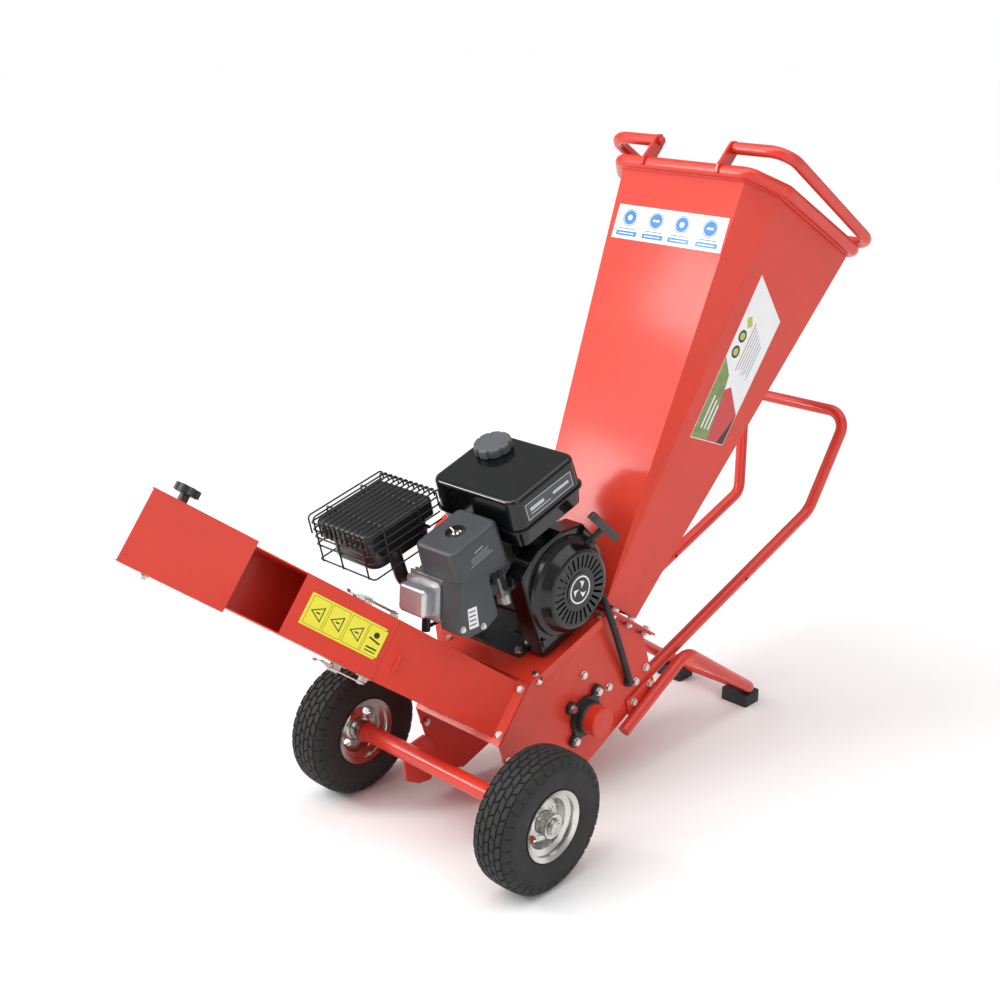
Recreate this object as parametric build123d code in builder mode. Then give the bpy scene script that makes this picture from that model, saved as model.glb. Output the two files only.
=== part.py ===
from build123d import *
import math
import os

os.makedirs("parts", exist_ok=True)

# ----------------------------------------------------------------------------
# Petrol wood chipper.  Millimetres.  +Z up, +Y towards the handle and hopper,
# +X towards the recoil starter.  Dimensions below are in the machine frame
# whose origin is on the ground under the middle of the wheel axle; every plane
# adds SX, SY so that the written solids have their origin at the centre of the
# footprint of the whole machine.
# ----------------------------------------------------------------------------
SX, SY = 35.86, -315.37

# wheels and axle
WHEEL_X = 243.4
TYRE_R, TYRE_HALF_W = 130.0, 41.0
RIM_R = 66.0
AXLE_Z = 130.0
AXLE_R = 10.0
TUBE_R = 17.0
RUN = 0.05            # running fit, radial
GAP = 0.3             # clearance between bodies

# body pitch and its corner
PITCH = math.radians(18.5)
BY, BZ = 113.0, 307.0
PLATE_IN, PLATE_T = 107.0, 3.0
DECK_T = 4.0

# rotor, in the body frame
ROT_Y, ROT_Z = 112.0, -173.0
SHAFT_R = 12.5
DRUM_R = 80.0

# engine crank, in the body frame
CR_Y, CR_Z = 158.0, 106.0
CRANK_R = 10.0

# discharge chute
CH_YAW = math.radians(26.0)
CH_X, CH_Y, CH_Z = 90.0, 83.0, 251.3
CH_DEPTH = 160.0
CH_H = 57.75          # half height of the duct
CH_S1, CH_S2, CH_S3 = 262.0, 452.0, 705.0
SHEET = 2.5
DEF_S0, DEF_S1 = 556.0, 752.0
PIV_S, PIV_T = 688.0, 62.0

# hopper, in the machine frame (Y, Z)
HOP_FRONT_TOP = (655.0, 1148.0)
HOP_FRONT_BOT = (337.0, 391.0)
HOP_REAR_TOP = (967.0, 976.0)
HOP_KINK = (490.0, 404.0)
HOP_REAR_BOT = (428.0, 328.0)

cp, sp = math.cos(PITCH), math.sin(PITCH)
YP = Vector(0, cp, sp)
ZP = Vector(0, -sp, cp)
XD = Vector(1, 0, 0)


def W(x, y, z):
    return Vector(x + SX, y + SY, z)


def B(x, y, z):
    return W(x, BY, BZ) + YP * y + ZP * z


def side_plane(x):
    """Looks along +X: local x is body Y', local y is body Z'."""
    return Plane(origin=B(x, 0, 0), x_dir=YP, z_dir=XD)


def deck_plane(z):
    return Plane(origin=B(0, 0, z), x_dir=XD, z_dir=ZP)


def front_plane(y):
    """Faces the front of the machine: local x is X, local y is Z'."""
    return Plane(origin=B(0, y, 0), x_dir=XD, z_dir=YP * -1)


def world_side(x):
    return Plane(origin=W(x, 0, 0), x_dir=Vector(0, 1, 0), z_dir=XD)


# chute directions
_n = Vector(0, 0.62, 0.785).normalized()
_d0 = Vector(0, -_n.Z, _n.Y)
CN = _n
CD = _d0 * math.cos(CH_YAW) - XD * math.sin(CH_YAW)
CO = XD * math.cos(CH_YAW) + _d0 * math.sin(CH_YAW)      # outward normal of the labelled wall
CD0 = _d0


def C(s, n, t):
    return W(CH_X, CH_Y, CH_Z) + CD * s + CN * n - CO * t


def chute_plane(t):
    """Local x runs out along the chute, local y up across it, z into its depth."""
    return Plane(origin=C(0, 0, t), x_dir=CD, z_dir=CO * -1)


def chute_n_plane(n, sgn=1):
    """On the upper (sgn 1) or lower (sgn -1) wall; local x along the chute."""
    return Plane(origin=C(0, n, 0), x_dir=CD, z_dir=CN * sgn)


def save(bp, name):
    bp.part.label = name
    export_step(bp.part, f"parts/{name}.step")


def hexa(r_flat):
    return r_flat / math.cos(math.pi / 6)


# ============================ wheels and axle ================================
AX = [W(0, 0, AXLE_Z)]


def axle_plane(x):
    return Plane(origin=W(x, 0, AXLE_Z), x_dir=Vector(0, 1, 0), z_dir=XD)


def tyre_rim_bearing(side):
    cx = side * WHEEL_X
    mer = Plane(origin=W(cx, 0, AXLE_Z), x_dir=Vector(0, 0, 1), z_dir=Vector(0, 1, 0))
    # local x = radius (up), local y = z_dir x x_dir = Y x Z = +X
    axis = Axis(W(cx, 0, AXLE_Z), XD)
    with BuildPart() as tyre:
        with BuildSketch(mer):
            with BuildLine():
                Polyline((60.0, -31.0), (66.8, -34.0), (88.0, -39.5), (108.0, -40.5), (121.0, -37.0),
                         (127.5, -30.0), (130.0, -16.0), (130.0, 16.0), (127.5, 30.0), (121.0, 37.0),
                         (108.0, 40.5), (88.0, 39.5), (66.8, 34.0), (60.0, 31.0), (60.0, 24.0),
                         (72.0, 26.0), (100.0, 28.0), (116.0, 22.0), (118.0, 0.0), (116.0, -22.0),
                         (100.0, -28.0), (72.0, -26.0), (60.0, -24.0), close=True)
            make_face()
        revolve(axis=axis)
    with BuildPart() as rim:
        with BuildSketch(mer):
            with BuildLine():
                Polyline((66.0, -37.0), (66.0, -34.2), (59.8, -31.2), (59.8, -23.8), (50.0, -20.0), (50.0, 20.0),
                         (59.8, 23.8), (59.8, 31.2), (66.0, 34.2), (66.0, 37.0), (57.5, 33.0), (57.5, 25.0),
                         (47.6, 21.0), (47.6, 6.0), (38.0, 10.0), (27.0, 10.0), (22.0, 12.0), (22.0, 36.0),
                         (18.0, 36.0), (18.0, -36.0), (22.0, -36.0), (22.0, 8.0), (27.0, 6.5), (38.0, 6.5), (47.6, 2.0),
                         (47.6, -21.0), (57.5, -25.0), (57.5, -33.0), close=True)
            make_face()
        revolve(axis=axis)
        # four oval windows in the disc
        with BuildSketch(axle_plane(cx - 14)):
            with PolarLocations(35.0, 4, start_angle=45):
                SlotOverall(22, 11.5, rotation=90)
        extrude(amount=28, mode=Mode.SUBTRACT)
    with BuildPart() as brg:
        for x0 in (-36.0, 24.0):
            with BuildSketch(axle_plane(cx + x0)):
                Circle(17.98)
                Circle(AXLE_R + RUN, mode=Mode.SUBTRACT)
            extrude(amount=12.0)
    return tyre, rim, brg


tyre_right, rim_right, hub_bearings_right = tyre_rim_bearing(1)
tyre_left, rim_left, hub_bearings_left = tyre_rim_bearing(-1)

with BuildPart() as axle_shaft:
    with BuildSketch(axle_plane(-288)):
        Circle(AXLE_R)
    extrude(amount=576)
    chamfer(axle_shaft.edges().filter_by(GeomType.CIRCLE), 1.2)

# end washers and cap nuts on both shaft ends, outside the wheel hubs
with BuildPart() as axle_end_caps:
    for sgn in (-1, 1):
        with BuildSketch(Plane(origin=W(sgn * 280.2, 0, AXLE_Z), x_dir=Vector(0, 1, 0), z_dir=XD * sgn)):
            Circle(16.0)
            Circle(AXLE_R + 0.02, mode=Mode.SUBTRACT)
        extrude(amount=2.0)
        with BuildSketch(Plane(origin=W(sgn * 282.2, 0, AXLE_Z), x_dir=Vector(0, 1, 0), z_dir=XD * sgn)):
            Circle(14.0)
            Circle(AXLE_R + 0.02, mode=Mode.SUBTRACT)
        extrude(amount=5.0)

with BuildPart() as axle_tube:
    with BuildSketch(axle_plane(-200)):
        Circle(TUBE_R)
        Circle(AXLE_R + 0.4, mode=Mode.SUBTRACT)
    extrude(amount=400)
    # end collars
    for x0 in (-206, 198):
        with BuildSketch(axle_plane(x0)):
            Circle(19.0)
            Circle(AXLE_R + 0.4, mode=Mode.SUBTRACT)
        extrude(amount=8)

# brackets from the tube back to the lower front corners of the side plates
with BuildPart() as axle_brackets:
    for x0 in (-106.7, 101.7):
        with BuildSketch(world_side(x0)):
            with BuildLine():
                Polyline((2.0, 112.9), (8.0, 60.0), (40.0, 42.0), (70.0, 38.0), (86.0, 60.0), (80.0, 118.0), (56.0, 140.0),
                         (17.2, 133.0), close=True)
            make_face()
            with Locations((0, AXLE_Z)):
                Circle(TUBE_R - 1.0, mode=Mode.SUBTRACT)
        extrude(amount=5.0)


with BuildPart() as hub_bearings:
    add(hub_bearings_right.part)
    add(hub_bearings_left.part)

# ============================ body ===========================================
FL_N = 63.0
_ox, _oz = -46.1, -43.3          # chute flange point in the body frame
_nx, _nz = CN.dot(YP), CN.dot(ZP)


def fl(n, k=0.0):
    """Point on the chute flange line, n along it, k ahead of it (body frame y', z')."""
    dx, dz = CD0.dot(YP), CD0.dot(ZP)
    return (_ox + _nx * n + dx * k, _oz + _nz * n + dz * k)


PLATE = [(-101.0, -79.3), fl(70.0), (13.0, -4.3), (228.0, -4.3), (311.2, -117.0), (311.0, -247.0),
         (60.0, -284.0), (-40.0, -284.0), (-101.0, -240.0)]

# bolt places on the side plates (body frame y', z')
PLATE_BOLTS = [(25.5, -16.2), (188.9, -161.8), (133.9, -89.0), (-92.0, -120.0)]
STAND_BOLTS = [(240.0, -240.0), (294.0, -233.0)]
HANDLE_BOLTS = [(262.0, -205.0), (298.0, -196.0)]
BRG_R = 52.0
BRG_ANG = [math.radians(a) for a in (35, 125, 215, 305)]
BRG_BOLTS = [(ROT_Y + BRG_R * math.cos(a), ROT_Z + BRG_R * math.sin(a)) for a in BRG_ANG]


def make_plate(x0):
    with BuildPart() as plate:
        with BuildSketch(side_plane(x0)):
            with BuildLine():
                Polyline(*PLATE, close=True)
            make_face()
            with Locations((ROT_Y, ROT_Z)):
                Circle(22.0, mode=Mode.SUBTRACT)
            with Locations(*PLATE_BOLTS, *STAND_BOLTS, *HANDLE_BOLTS, *BRG_BOLTS):
                Circle(4.2, mode=Mode.SUBTRACT)
        extrude(amount=PLATE_T)
    return plate


side_plate_right = make_plate(PLATE_IN)
side_plate_left = make_plate(-PLATE_IN - PLATE_T)

TRAY_Y1 = 224.0
ENG_BOLTS = [(-94.5, 52.0), (46.0, 52.0), (-94.5, 211.0), (46.0, 211.0)]
TRAY_BOLTS = [(111.5, 22.0), (-111.5, 22.0), (111.5, 208.0), (-111.5, 208.0)]
with BuildPart() as engine_tray:
    with BuildSketch(deck_plane(-DECK_T)):
        with Locations((0, TRAY_Y1 / 2)):
            Rectangle(240, TRAY_Y1)
        with Locations(*ENG_BOLTS, *TRAY_BOLTS):
            Circle(4.6, mode=Mode.SUBTRACT)
    extrude(amount=DECK_T)
    # down-turned side lips outside the side plates
    for sgn in (-1, 1):
        with BuildSketch(deck_plane(-DECK_T)):
            with Locations((sgn * 118.5, TRAY_Y1 / 2 + 8)):
                Rectangle(3, TRAY_Y1 - 40)
        extrude(amount=-14)

# curved rotor casing between the side plates
CAS_R = 94.0


def thick(pts, t):
    """Outline of a bent strip of thickness t along a run of points."""
    up, dn = [], []
    for i, p in enumerate(pts):
        a = pts[max(i - 1, 0)]
        c = pts[min(i + 1, len(pts) - 1)]
        n = Vector(-(c[1] - a[1]), c[0] - a[0], 0).normalized()
        k = t / 2
        if 0 < i < len(pts) - 1:
            e = Vector(-(c[1] - p[1]), c[0] - p[0], 0).normalized()
            k = k / max(n.dot(e), 0.5)
        up.append((p[0] + n.X * k, p[1] + n.Y * k))
        dn.append((p[0] - n.X * k, p[1] - n.Y * k))
    return up + dn[::-1]


CAS_PTS = [fl(-55.5, -1.7)]
for _k in range(23):
    _a = math.radians(172 + 8.3 * _k)
    CAS_PTS.append((ROT_Y + (CAS_R + 1.5) * math.cos(_a), ROT_Z + (CAS_R + 1.5) * math.sin(_a)))
CAS_PTS.append((301.0, -123.5))
with BuildPart() as rotor_housing:
    with BuildSketch(side_plane(-PLATE_IN + 0.1)):
        Polygon(*thick(CAS_PTS, 3.0), align=None)
    extrude(amount=2 * PLATE_IN - 0.2)

# ---------------------------- chute base -------------------------------------
# The flange plane faces CD0; the base duct leaves it at the yaw angle.
FLP = Plane(origin=W(0, CH_Y, CH_Z), x_dir=XD, z_dir=CD0)      # local y = CD0 x X = +CN
FLW, FLN, FLT = 108.5, 65.0, 4.0
with BuildPart() as chute_base:
    with BuildSketch(chute_plane(0)):
        Polygon((-30.0, -54.0), (-30.0, 54.0), (CH_S1 - 22, CH_H), (CH_S1, CH_H), (CH_S1, -CH_H), (CH_S1 - 22, -CH_H),
                align=None)
    extrude(amount=CH_DEPTH)
    with BuildSketch(chute_plane(SHEET)):
        Polygon((-40.0, -54.0 + SHEET), (-40.0, 54.0 - SHEET), (CH_S1 - 22, CH_H - SHEET), (CH_S1 + 5, CH_H - SHEET),
                (CH_S1 + 5, -CH_H + SHEET), (CH_S1 - 22, -CH_H + SHEET), align=None)
    extrude(amount=CH_DEPTH - 2 * SHEET, mode=Mode.SUBTRACT)
    split(bisect_by=FLP, keep=Keep.TOP)
    # bolted flange round the opening
    with BuildSketch(FLP):
        Rectangle(2 * FLW, 2 * FLN)
        Rectangle(2 * (CH_X - SHEET), 2 * (54 - SHEET), mode=Mode.SUBTRACT)
        with Locations(*[(x, y) for x in (-99.5, 99.5) for y in (-45.0, 45.0)]):
            Circle(3.4, mode=Mode.SUBTRACT)
    extrude(amount=FLT)
    # inner sleeve that the upper duct slides over
    with BuildSketch(chute_plane(SHEET + 0.4)):
        Polygon((CH_S1 - 20, -CH_H + SHEET), (CH_S1 - 20, CH_H - SHEET), (CH_S1, CH_H - SHEET - 0.4), (CH_S1 + 24, CH_H - SHEET - 0.4),
                (CH_S1 + 24, -CH_H + SHEET + 0.4), (CH_S1, -CH_H + SHEET + 0.4), align=None)
    extrude(amount=CH_DEPTH - 2 * SHEET - 0.8)
    with BuildSketch(chute_plane(SHEET + 2.4)):
        with Locations((CH_S1, 0)):
            Rectangle(70, 2 * (CH_H - SHEET - 2.4))
    extrude(amount=CH_DEPTH - 2 * SHEET - 4.8, mode=Mode.SUBTRACT)
    # raised lug on the labelled wall, near the joint
    with BuildSketch(chute_plane(0)):
        with Locations((CH_S1 - 26, -12)):
            SlotOverall(34, 6, rotation=90)
    extrude(amount=-5)

# body-side frame that the chute flange bolts to
with BuildPart() as chute_seat:
    with BuildSketch(FLP.offset(-3.2)):
        Rectangle(2 * (PLATE_IN - 0.2), 2 * 60)
        Rectangle(2 * (CH_X - 4), 2 * 50, mode=Mode.SUBTRACT)
        with Locations(*[(x, y) for x in (-99.5, 99.5) for y in (-45.0, 45.0)]):
            Circle(3.4, mode=Mode.SUBTRACT)
    extrude(amount=3.0)

# ---------------------------- chute upper ------------------------------------
with BuildPart() as chute_upper:
    with BuildSketch(chute_plane(0)):
        with Locations(((CH_S1 + 0.4 + CH_S3) / 2, 0)):
            Rectangle(CH_S3 - CH_S1 - 0.4, 2 * CH_H)
    extrude(amount=CH_DEPTH)
    with BuildSketch(chute_plane(SHEET)):
        with Locations(((CH_S1 + CH_S3) / 2, 0)):
            Rectangle(CH_S3 - CH_S1 + 40, 2 * (CH_H - SHEET))
    extrude(amount=CH_DEPTH - 2 * SHEET, mode=Mode.SUBTRACT)
    # labelled wall is cut away beyond the label
    with BuildSketch(chute_plane(-1)):
        with Locations(((CH_S2 + CH_S3 + 20) / 2, 0)):
            Rectangle(CH_S3 + 20 - CH_S2, 2 * CH_H + 4)
    extrude(amount=1 + SHEET, mode=Mode.SUBTRACT)
    # back wall stops short of the mouth
    with BuildSketch(chute_plane(CH_DEPTH - SHEET - 1)):
        with Locations((CH_S3 - 20, 0)):
            Rectangle(100, 2 * CH_H + 4)
    extrude(amount=SHEET + 3, mode=Mode.SUBTRACT)
    # pivot holes
    with BuildSketch(chute_n_plane(-CH_H - 5)):
        with Locations((PIV_S, -PIV_T)):
            Circle(4.2)
    extrude(amount=2 * CH_H + 10, mode=Mode.SUBTRACT)

# deflector: a channel over the open end, turning about the pivot bolt
DH = 66.5
with BuildPart() as chute_deflector:
    with BuildSketch(chute_n_plane(-DH)):
        Polygon((DEF_S0, 5.5), (DEF_S1, 5.5), (DEF_S1, -10), (DEF_S1 - 30, -96), (DEF_S0 + 60, -112), (DEF_S0 + 2, -40), align=None)
    extrude(amount=2 * DH)
    with BuildSketch(chute_n_plane(-DH + 2)):
        Polygon((DEF_S0 - 5, 3.5), (DEF_S1 + 5, 3.5), (DEF_S1 + 5, -130), (DEF_S0 - 5, -130), align=None)
    extrude(amount=2 * DH - 4, mode=Mode.SUBTRACT)
    with BuildSketch(chute_n_plane(-DH - 2)):
        with Locations((PIV_S, -PIV_T)):
            Circle(4.6)
    extrude(amount=2 * DH + 4, mode=Mode.SUBTRACT)
    fillet(chute_deflector.edges().filter_by(lambda e: abs(e.tangent_at(0).dot(CD)) > 0.99 and abs((e.center() - C(0, 0, 0)).dot(CO) - 5.5) < 0.1), 3.0)

# pivot bolt with spacers (fixed to the duct)
with BuildPart() as deflector_pivot:
    with BuildSketch(chute_n_plane(-DH - 9)):
        with Locations((PIV_S, -PIV_T)):
            RegularPolygon(7.5, 6)
    extrude(amount=6.0)
    with BuildSketch(chute_n_plane(-DH - 9)):
        with Locations((PIV_S, -PIV_T)):
            Circle(4.0)
    extrude(amount=2 * DH + 9 + 16)
    with BuildSketch(chute_n_plane(-DH - 2.6)):
        with Locations((PIV_S, -PIV_T)):
            Circle(10)
    extrude(amount=2.3)
    for n0 in (-DH + 2.3, CH_H + 0.05):
        with BuildSketch(chute_n_plane(n0)):
            with Locations((PIV_S, -PIV_T)):
                Circle(10)
        extrude(amount=DH - 2.3 - CH_H - 0.05)
with BuildPart() as deflector_knob:
    with BuildSketch(chute_n_plane(DH + 0.35)):
        with Locations((PIV_S, -PIV_T)):
            Circle(9.0)
            Circle(4.05, mode=Mode.SUBTRACT)
    extrude(amount=17.0)
    with BuildSketch(chute_n_plane(DH + 17.35)):
        with Locations((PIV_S, -PIV_T)):
            Circle(19.0)
            with PolarLocations(17.5, 7):
                Circle(6.0)
    extrude(amount=14.0)
    fillet(deflector_knob.faces().sort_by(Axis(C(0, 0, 0), CN))[-1].edges(), 2.0)

# ---------------------------- draw latches -----------------------------------
LT = 80.0     # latch centre line, depth into the duct side
LS = 306.0    # lever pivot, along the chute
LN = 9.0      # lever pivot height over the wall


def latch(sgn):
    base_n = sgn * (CH_H + 0.05)

    def P(n):
        return Plane(origin=C(0, sgn * n, 0), x_dir=CD, z_dir=CN * sgn)

    yy = LT * (-1 if sgn > 0 else 1)     # local y of the latch line on that plane
    with BuildPart() as base:
        with BuildSketch(P(CH_H + 0.05)):
            with Locations((LS + 2, yy)):
                Rectangle(34, 26)
        extrude(amount=1.6)
        for dy in (-11.5, 11.5):
            with BuildSketch(Plane(origin=C(0, 0, LT + dy - 1.0), x_dir=CD, z_dir=CO * -1)):
                with Locations((LS, sgn * (CH_H + 6))):
                    Rectangle(14, 12)
                with Locations((LS, sgn * (CH_H + LN))):
                    Circle(2.6, mode=Mode.SUBTRACT)
            extrude(amount=2.0)
    with BuildPart() as lever:
        # lever plate folded over the base, pivot pin and curled tip
        with BuildSketch(Plane(origin=C(0, 0, LT - 13.2), x_dir=CD, z_dir=CO * -1)):
            with Locations((LS, sgn * (CH_H + LN))):
                Circle(2.3)
        extrude(amount=26.4)
        for dy in (-9.6, 7.6):
            with BuildSketch(Plane(origin=C(0, 0, LT + dy), x_dir=CD, z_dir=CO * -1)):
                Polygon((LS - 5, sgn * (CH_H + 5.0)), (LS + 26, sgn * (CH_H + 5.0)), (LS + 28, sgn * (CH_H + 9)), (LS + 10, sgn * (CH_H + 16)),
                        (LS - 5, sgn * (CH_H + 16)), align=None)
                with Locations((LS + 10, sgn * (CH_H + 11.5))):
                    Circle(1.56, mode=Mode.SUBTRACT)
            extrude(amount=2.0)
        with BuildSketch(Plane(origin=C(0, 0, LT - 9.6), x_dir=CD, z_dir=CO * -1)):
            Polygon((LS - 5, sgn * (CH_H + 14)), (LS - 5, sgn * (CH_H + 16)), (LS + 10, sgn * (CH_H + 16)), (LS + 28, sgn * (CH_H + 9)),
                    (LS + 38, sgn * (CH_H + 9)), (LS + 41, sgn * (CH_H + 13)), (LS + 43, sgn * (CH_H + 12)), (LS + 39, sgn * (CH_H + 7)),
                    (LS + 26, sgn * (CH_H + 7)), (LS + 9, sgn * (CH_H + 14)), align=None)
        extrude(amount=19.2)
    # bail: wire loop from the lever to the keeper on the base duct
    bn = CH_H + 11.5
    bpl = Plane(origin=C(0, sgn * bn, 0), x_dir=CD, z_dir=CN * sgn)
    with BuildLine(bpl) as bl:
        FilletPolyline((CH_S1 - 14, yy - 15.6), (LS + 10, yy - 15.6), (LS + 10, yy + 15.6), (CH_S1 - 14, yy + 15.6), radius=2.6, close=True)
    bw = bl.wires()[0]
    with BuildPart() as bail:
        with BuildSketch(Plane(origin=bw @ 0, z_dir=bw % 0)):
            Circle(1.5)
        sweep(path=bw)
    with BuildPart() as keeper:
        with BuildSketch(P(CH_H + 0.05)):
            with Locations((CH_S1 - 12, yy)):
                Rectangle(22, 24)
        extrude(amount=1.6)
        with BuildSketch(Plane(origin=C(0, 0, LT - 9), x_dir=CD, z_dir=CO * -1)):
            Polygon((CH_S1 - 20, sgn * (CH_H + 1.2)), (CH_S1 - 8, sgn * (CH_H + 1.2)), (CH_S1 - 8.5, sgn * (CH_H + 14.5)), (CH_S1 - 10.8, sgn * (CH_H + 15.5)),
                    (CH_S1 - 11.6, sgn * (CH_H + 9.6)), (CH_S1 - 19, sgn * (CH_H + 8.6)), align=None)
        extrude(amount=18)
    return base, lever, bail, keeper


lbt, latch_lever_top, latch_bail_top, kt = latch(1)
lbb, latch_lever_bottom, latch_bail_bottom, kb = latch(-1)
with BuildPart() as latch_plates:
    for _p in (lbt, lbb, kt, kb):
        add(_p.part)

# ============================ hopper =========================================
HF = Plane(origin=B(0, 231.0, -2.0), x_dir=XD, z_dir=(YP * 0.805 + ZP * 0.593))  # local y = z x X
_hy = HF.y_dir                          # along the flange, down to the rear is -_hy or +
HS = 1 if _hy.dot(Vector(0, 1, 0)) > 0 else -1     # +1: local y runs to the rear


def lerp(a, b, t):
    return (a[0] + (b[0] - a[0]) * t, a[1] + (b[1] - a[1]) * t)


def pt(x, yz):
    return W(x, yz[0], yz[1])


# outline of the shell: front panel, chamfer strips, side panels and rear panels
F0, F1 = 104.0, 145.0        # half width of the front panel, base and mouth
S0, S1 = 105.0, 185.0        # half width at the sides, base and mouth
CH_TOP = (712.0, 1121.0)     # chamfer to side corner at the mouth
CH_BOT = (341.0, 388.0)
KX = 114.0                   # half width at the kink of the rear edge


def shell_solid(g):
    """Closed polyhedron of the hopper, every wall moved in by g."""
    f0, f1, s0, s1 = F0 - g * 0.9, F1 - g * 0.9, S0 - g, S1 - g * 1.05
    # keep the inner front wall g behind the outer one
    fy = g * 1.087
    ry = -g * 1.25
    A = (HOP_FRONT_BOT[0] + fy, HOP_FRONT_BOT[1])
    Bt = (HOP_FRONT_TOP[0] + fy, HOP_FRONT_TOP[1])
    Cb = (CH_BOT[0] + fy, CH_BOT[1])
    Ct = (CH_TOP[0] + fy, CH_TOP[1])
    K = (HOP_KINK[0] + ry, HOP_KINK[1] + (0.3 * g if g else 0))
    R0 = (HOP_REAR_BOT[0] + ry, HOP_REAR_BOT[1])
    Rt = (HOP_REAR_TOP[0] + ry, HOP_REAR_TOP[1])
    return f0, f1, s0, s1, A, Bt, Cb, Ct, K, R0, Rt


def hopper_block(g, ext_top=0.0, ext_bot=0.0):
    f0, f1, s0, s1, A, Bt, Cb, Ct, K, R0, Rt = shell_solid(g)

    def up(p, q, e):
        L = math.hypot(q[0] - p[0], q[1] - p[1])
        return (q[0] + (q[0] - p[0]) * e / L, q[1] + (q[1] - p[1]) * e / L)

    def up3(p, q, e):
        d = (q - p).normalized()
        return q + d * e

    aL, aR = pt(-f0, A), pt(f0, A)
    bL, bR = pt(-f1, Bt), pt(f1, Bt)
    cL, cR = pt(-s0, Cb), pt(s0, Cb)
    eL, eR = pt(-s1, Ct), pt(s1, Ct)
    kx = KX - g
    kL, kR = pt(-kx, K), pt(kx, K)
    rL, rR = pt(-s0, R0), pt(s0, R0)
    tL, tR = pt(-s1, Rt), pt(s1, Rt)
    if ext_top:
        bL, bR, eL, eR, tL, tR = (up3(aL, bL, ext_top), up3(aR, bR, ext_top), up3(cL, eL, ext_top), up3(cR, eR, ext_top),
                                  up3(kL, tL, ext_top), up3(kR, tR, ext_top))
    if ext_bot:
        aL, aR, cL, cR = (up3(bL, aL, ext_bot), up3(bR, aR, ext_bot), up3(eL, cL, ext_bot), up3(eR, cR, ext_bot))
        rL, rR = up3(kL, rL, ext_bot), up3(kR, rR, ext_bot)

    def tri(*p):
        return [Face(Wire.make_polygon([p[0], p[i], p[i + 1]], close=True)) for i in range(1, len(p) - 1)]

    faces = []
    faces += tri(aL, aR, bR, bL)
    faces += tri(aR, cR, eR) + tri(aR, eR, bR)
    faces += tri(aL, bL, eL) + tri(aL, eL, cL)
    faces += tri(cR, rR, kR) + tri(cR, kR, eR) + tri(kR, tR, eR)
    faces += tri(cL, kL, rL) + tri(cL, eL, kL) + tri(kL, eL, tL)
    faces += tri(rL, kL, kR) + tri(rL, kR, rR)
    faces += tri(kL, tL, tR) + tri(kL, tR, kR)
    # base and mouth
    faces += tri(aL, cL, rL, rR, cR, aR)
    faces += tri(bL, bR, eR, tR, tL, eL)
    return Solid(Shell(faces))


hop_outer = hopper_block(0.0)
hop_inner = hopper_block(2.5, 14.0, 14.0)
with BuildPart() as hopper_shell:
    add(hop_outer)
    add(hop_inner, mode=Mode.SUBTRACT)
    split(bisect_by=HF.offset(4.0), keep=Keep.TOP)

with BuildPart() as hopper_flange:
    with BuildSketch(HF):
        with Locations((0, HS * 74.0)):
            Rectangle(256, 166)
        with Locations((0, HS * 66.0)):
            Rectangle(196, 118, mode=Mode.SUBTRACT)
        with Locations(*[(x, HS * y) for x in (-118.0, 118.0) for y in (14.0, 74.0, 134.0)]):
            Circle(4.2, mode=Mode.SUBTRACT)
    extrude(amount=4.0)

# hopper seat on the body, under the flange
with BuildPart() as hopper_seat:
    with BuildSketch(HF.offset(-3.0)):
        with Locations((0, HS * 74.0)):
            Rectangle(250, 150)
        with Locations((0, HS * 66.0)):
            Rectangle(196, 112, mode=Mode.SUBTRACT)
        with Locations(*[(x, HS * y) for x in (-118.0, 118.0) for y in (14.0, 74.0, 134.0)]):
            Circle(4.2, mode=Mode.SUBTRACT)
    extrude(amount=3.0)

# rim plane: origin at the front edge of the mouth, local x = X, local y = to the rear
RIMA = math.radians(28.9)
RD = Vector(0, math.cos(RIMA), -math.sin(RIMA))
RN = Vector(0, math.sin(RIMA), math.cos(RIMA))


def rim_plane(h):
    return Plane(origin=W(0, *HOP_FRONT_TOP) + RN * h, x_dir=XD, z_dir=RN)


def R3(x, r, h):
    return W(x, *HOP_FRONT_TOP) + RD * r + RN * h


def tube(path, start_plane, r):
    """Round bar of radius r swept along a wire that starts at start_plane's origin."""
    with BuildPart(mode=Mode.PRIVATE) as t:
        with BuildSketch(start_plane):
            Circle(r)
        sweep(path=path)
    return t.part


def u_path(plane, half, r=24.0):
    """Open symmetric path: half holds local points from the middle line to one end."""
    left = [(-x, y) for x, y in reversed(half[1:])]
    with BuildLine(plane) as ln:
        FilletPolyline(*left, *half, radius=r)
    return ln.wires()[0]


RT = 13.0
SB_P = (8.0, 66.0)      # pivot of the stop bar, back and up from the front edge of the mouth
RP = rim_plane(14.0)
with BuildLine(RP) as rl:
    FilletPolyline((-196, 366), (-196, 64), (-152, -4), (152, -4), (196, 64), (196, 366), radius=24, close=True)
_rw = rl.wires()[0]
with BuildPart() as hopper_rim_tube:
    with BuildSketch(Plane(origin=_rw @ 0, z_dir=_rw % 0)):
        Circle(RT)
    sweep(path=_rw)
    # plates that carry the stop bar
    for sgn in (-1, 1):
        with BuildSketch(Plane(origin=R3(sgn * 88 - 2.5, 0, 0), x_dir=RD, z_dir=XD)):
            Polygon((-20, 6), (6, 2), (12, 26), (22, 58), (19, 72), (8, 80), (-4, 74), (-10, 60), (-18, 32), (-23, 20), align=None)
            with Locations((SB_P[0], SB_P[1])):
                Circle(5.3, mode=Mode.SUBTRACT)
        extrude(amount=5.0)
    # rests for the bar on the rear of the rim
    for sgn in (-1, 1):
        with BuildSketch(Plane(origin=R3(sgn * 120 - 12, 0, 0), x_dir=RD, z_dir=XD)):
            Polygon((366, 14), (378, 20), (400, 24), (400, 29.6), (382, 29.6), (362, 24), align=None)
        extrude(amount=24.0)

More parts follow.
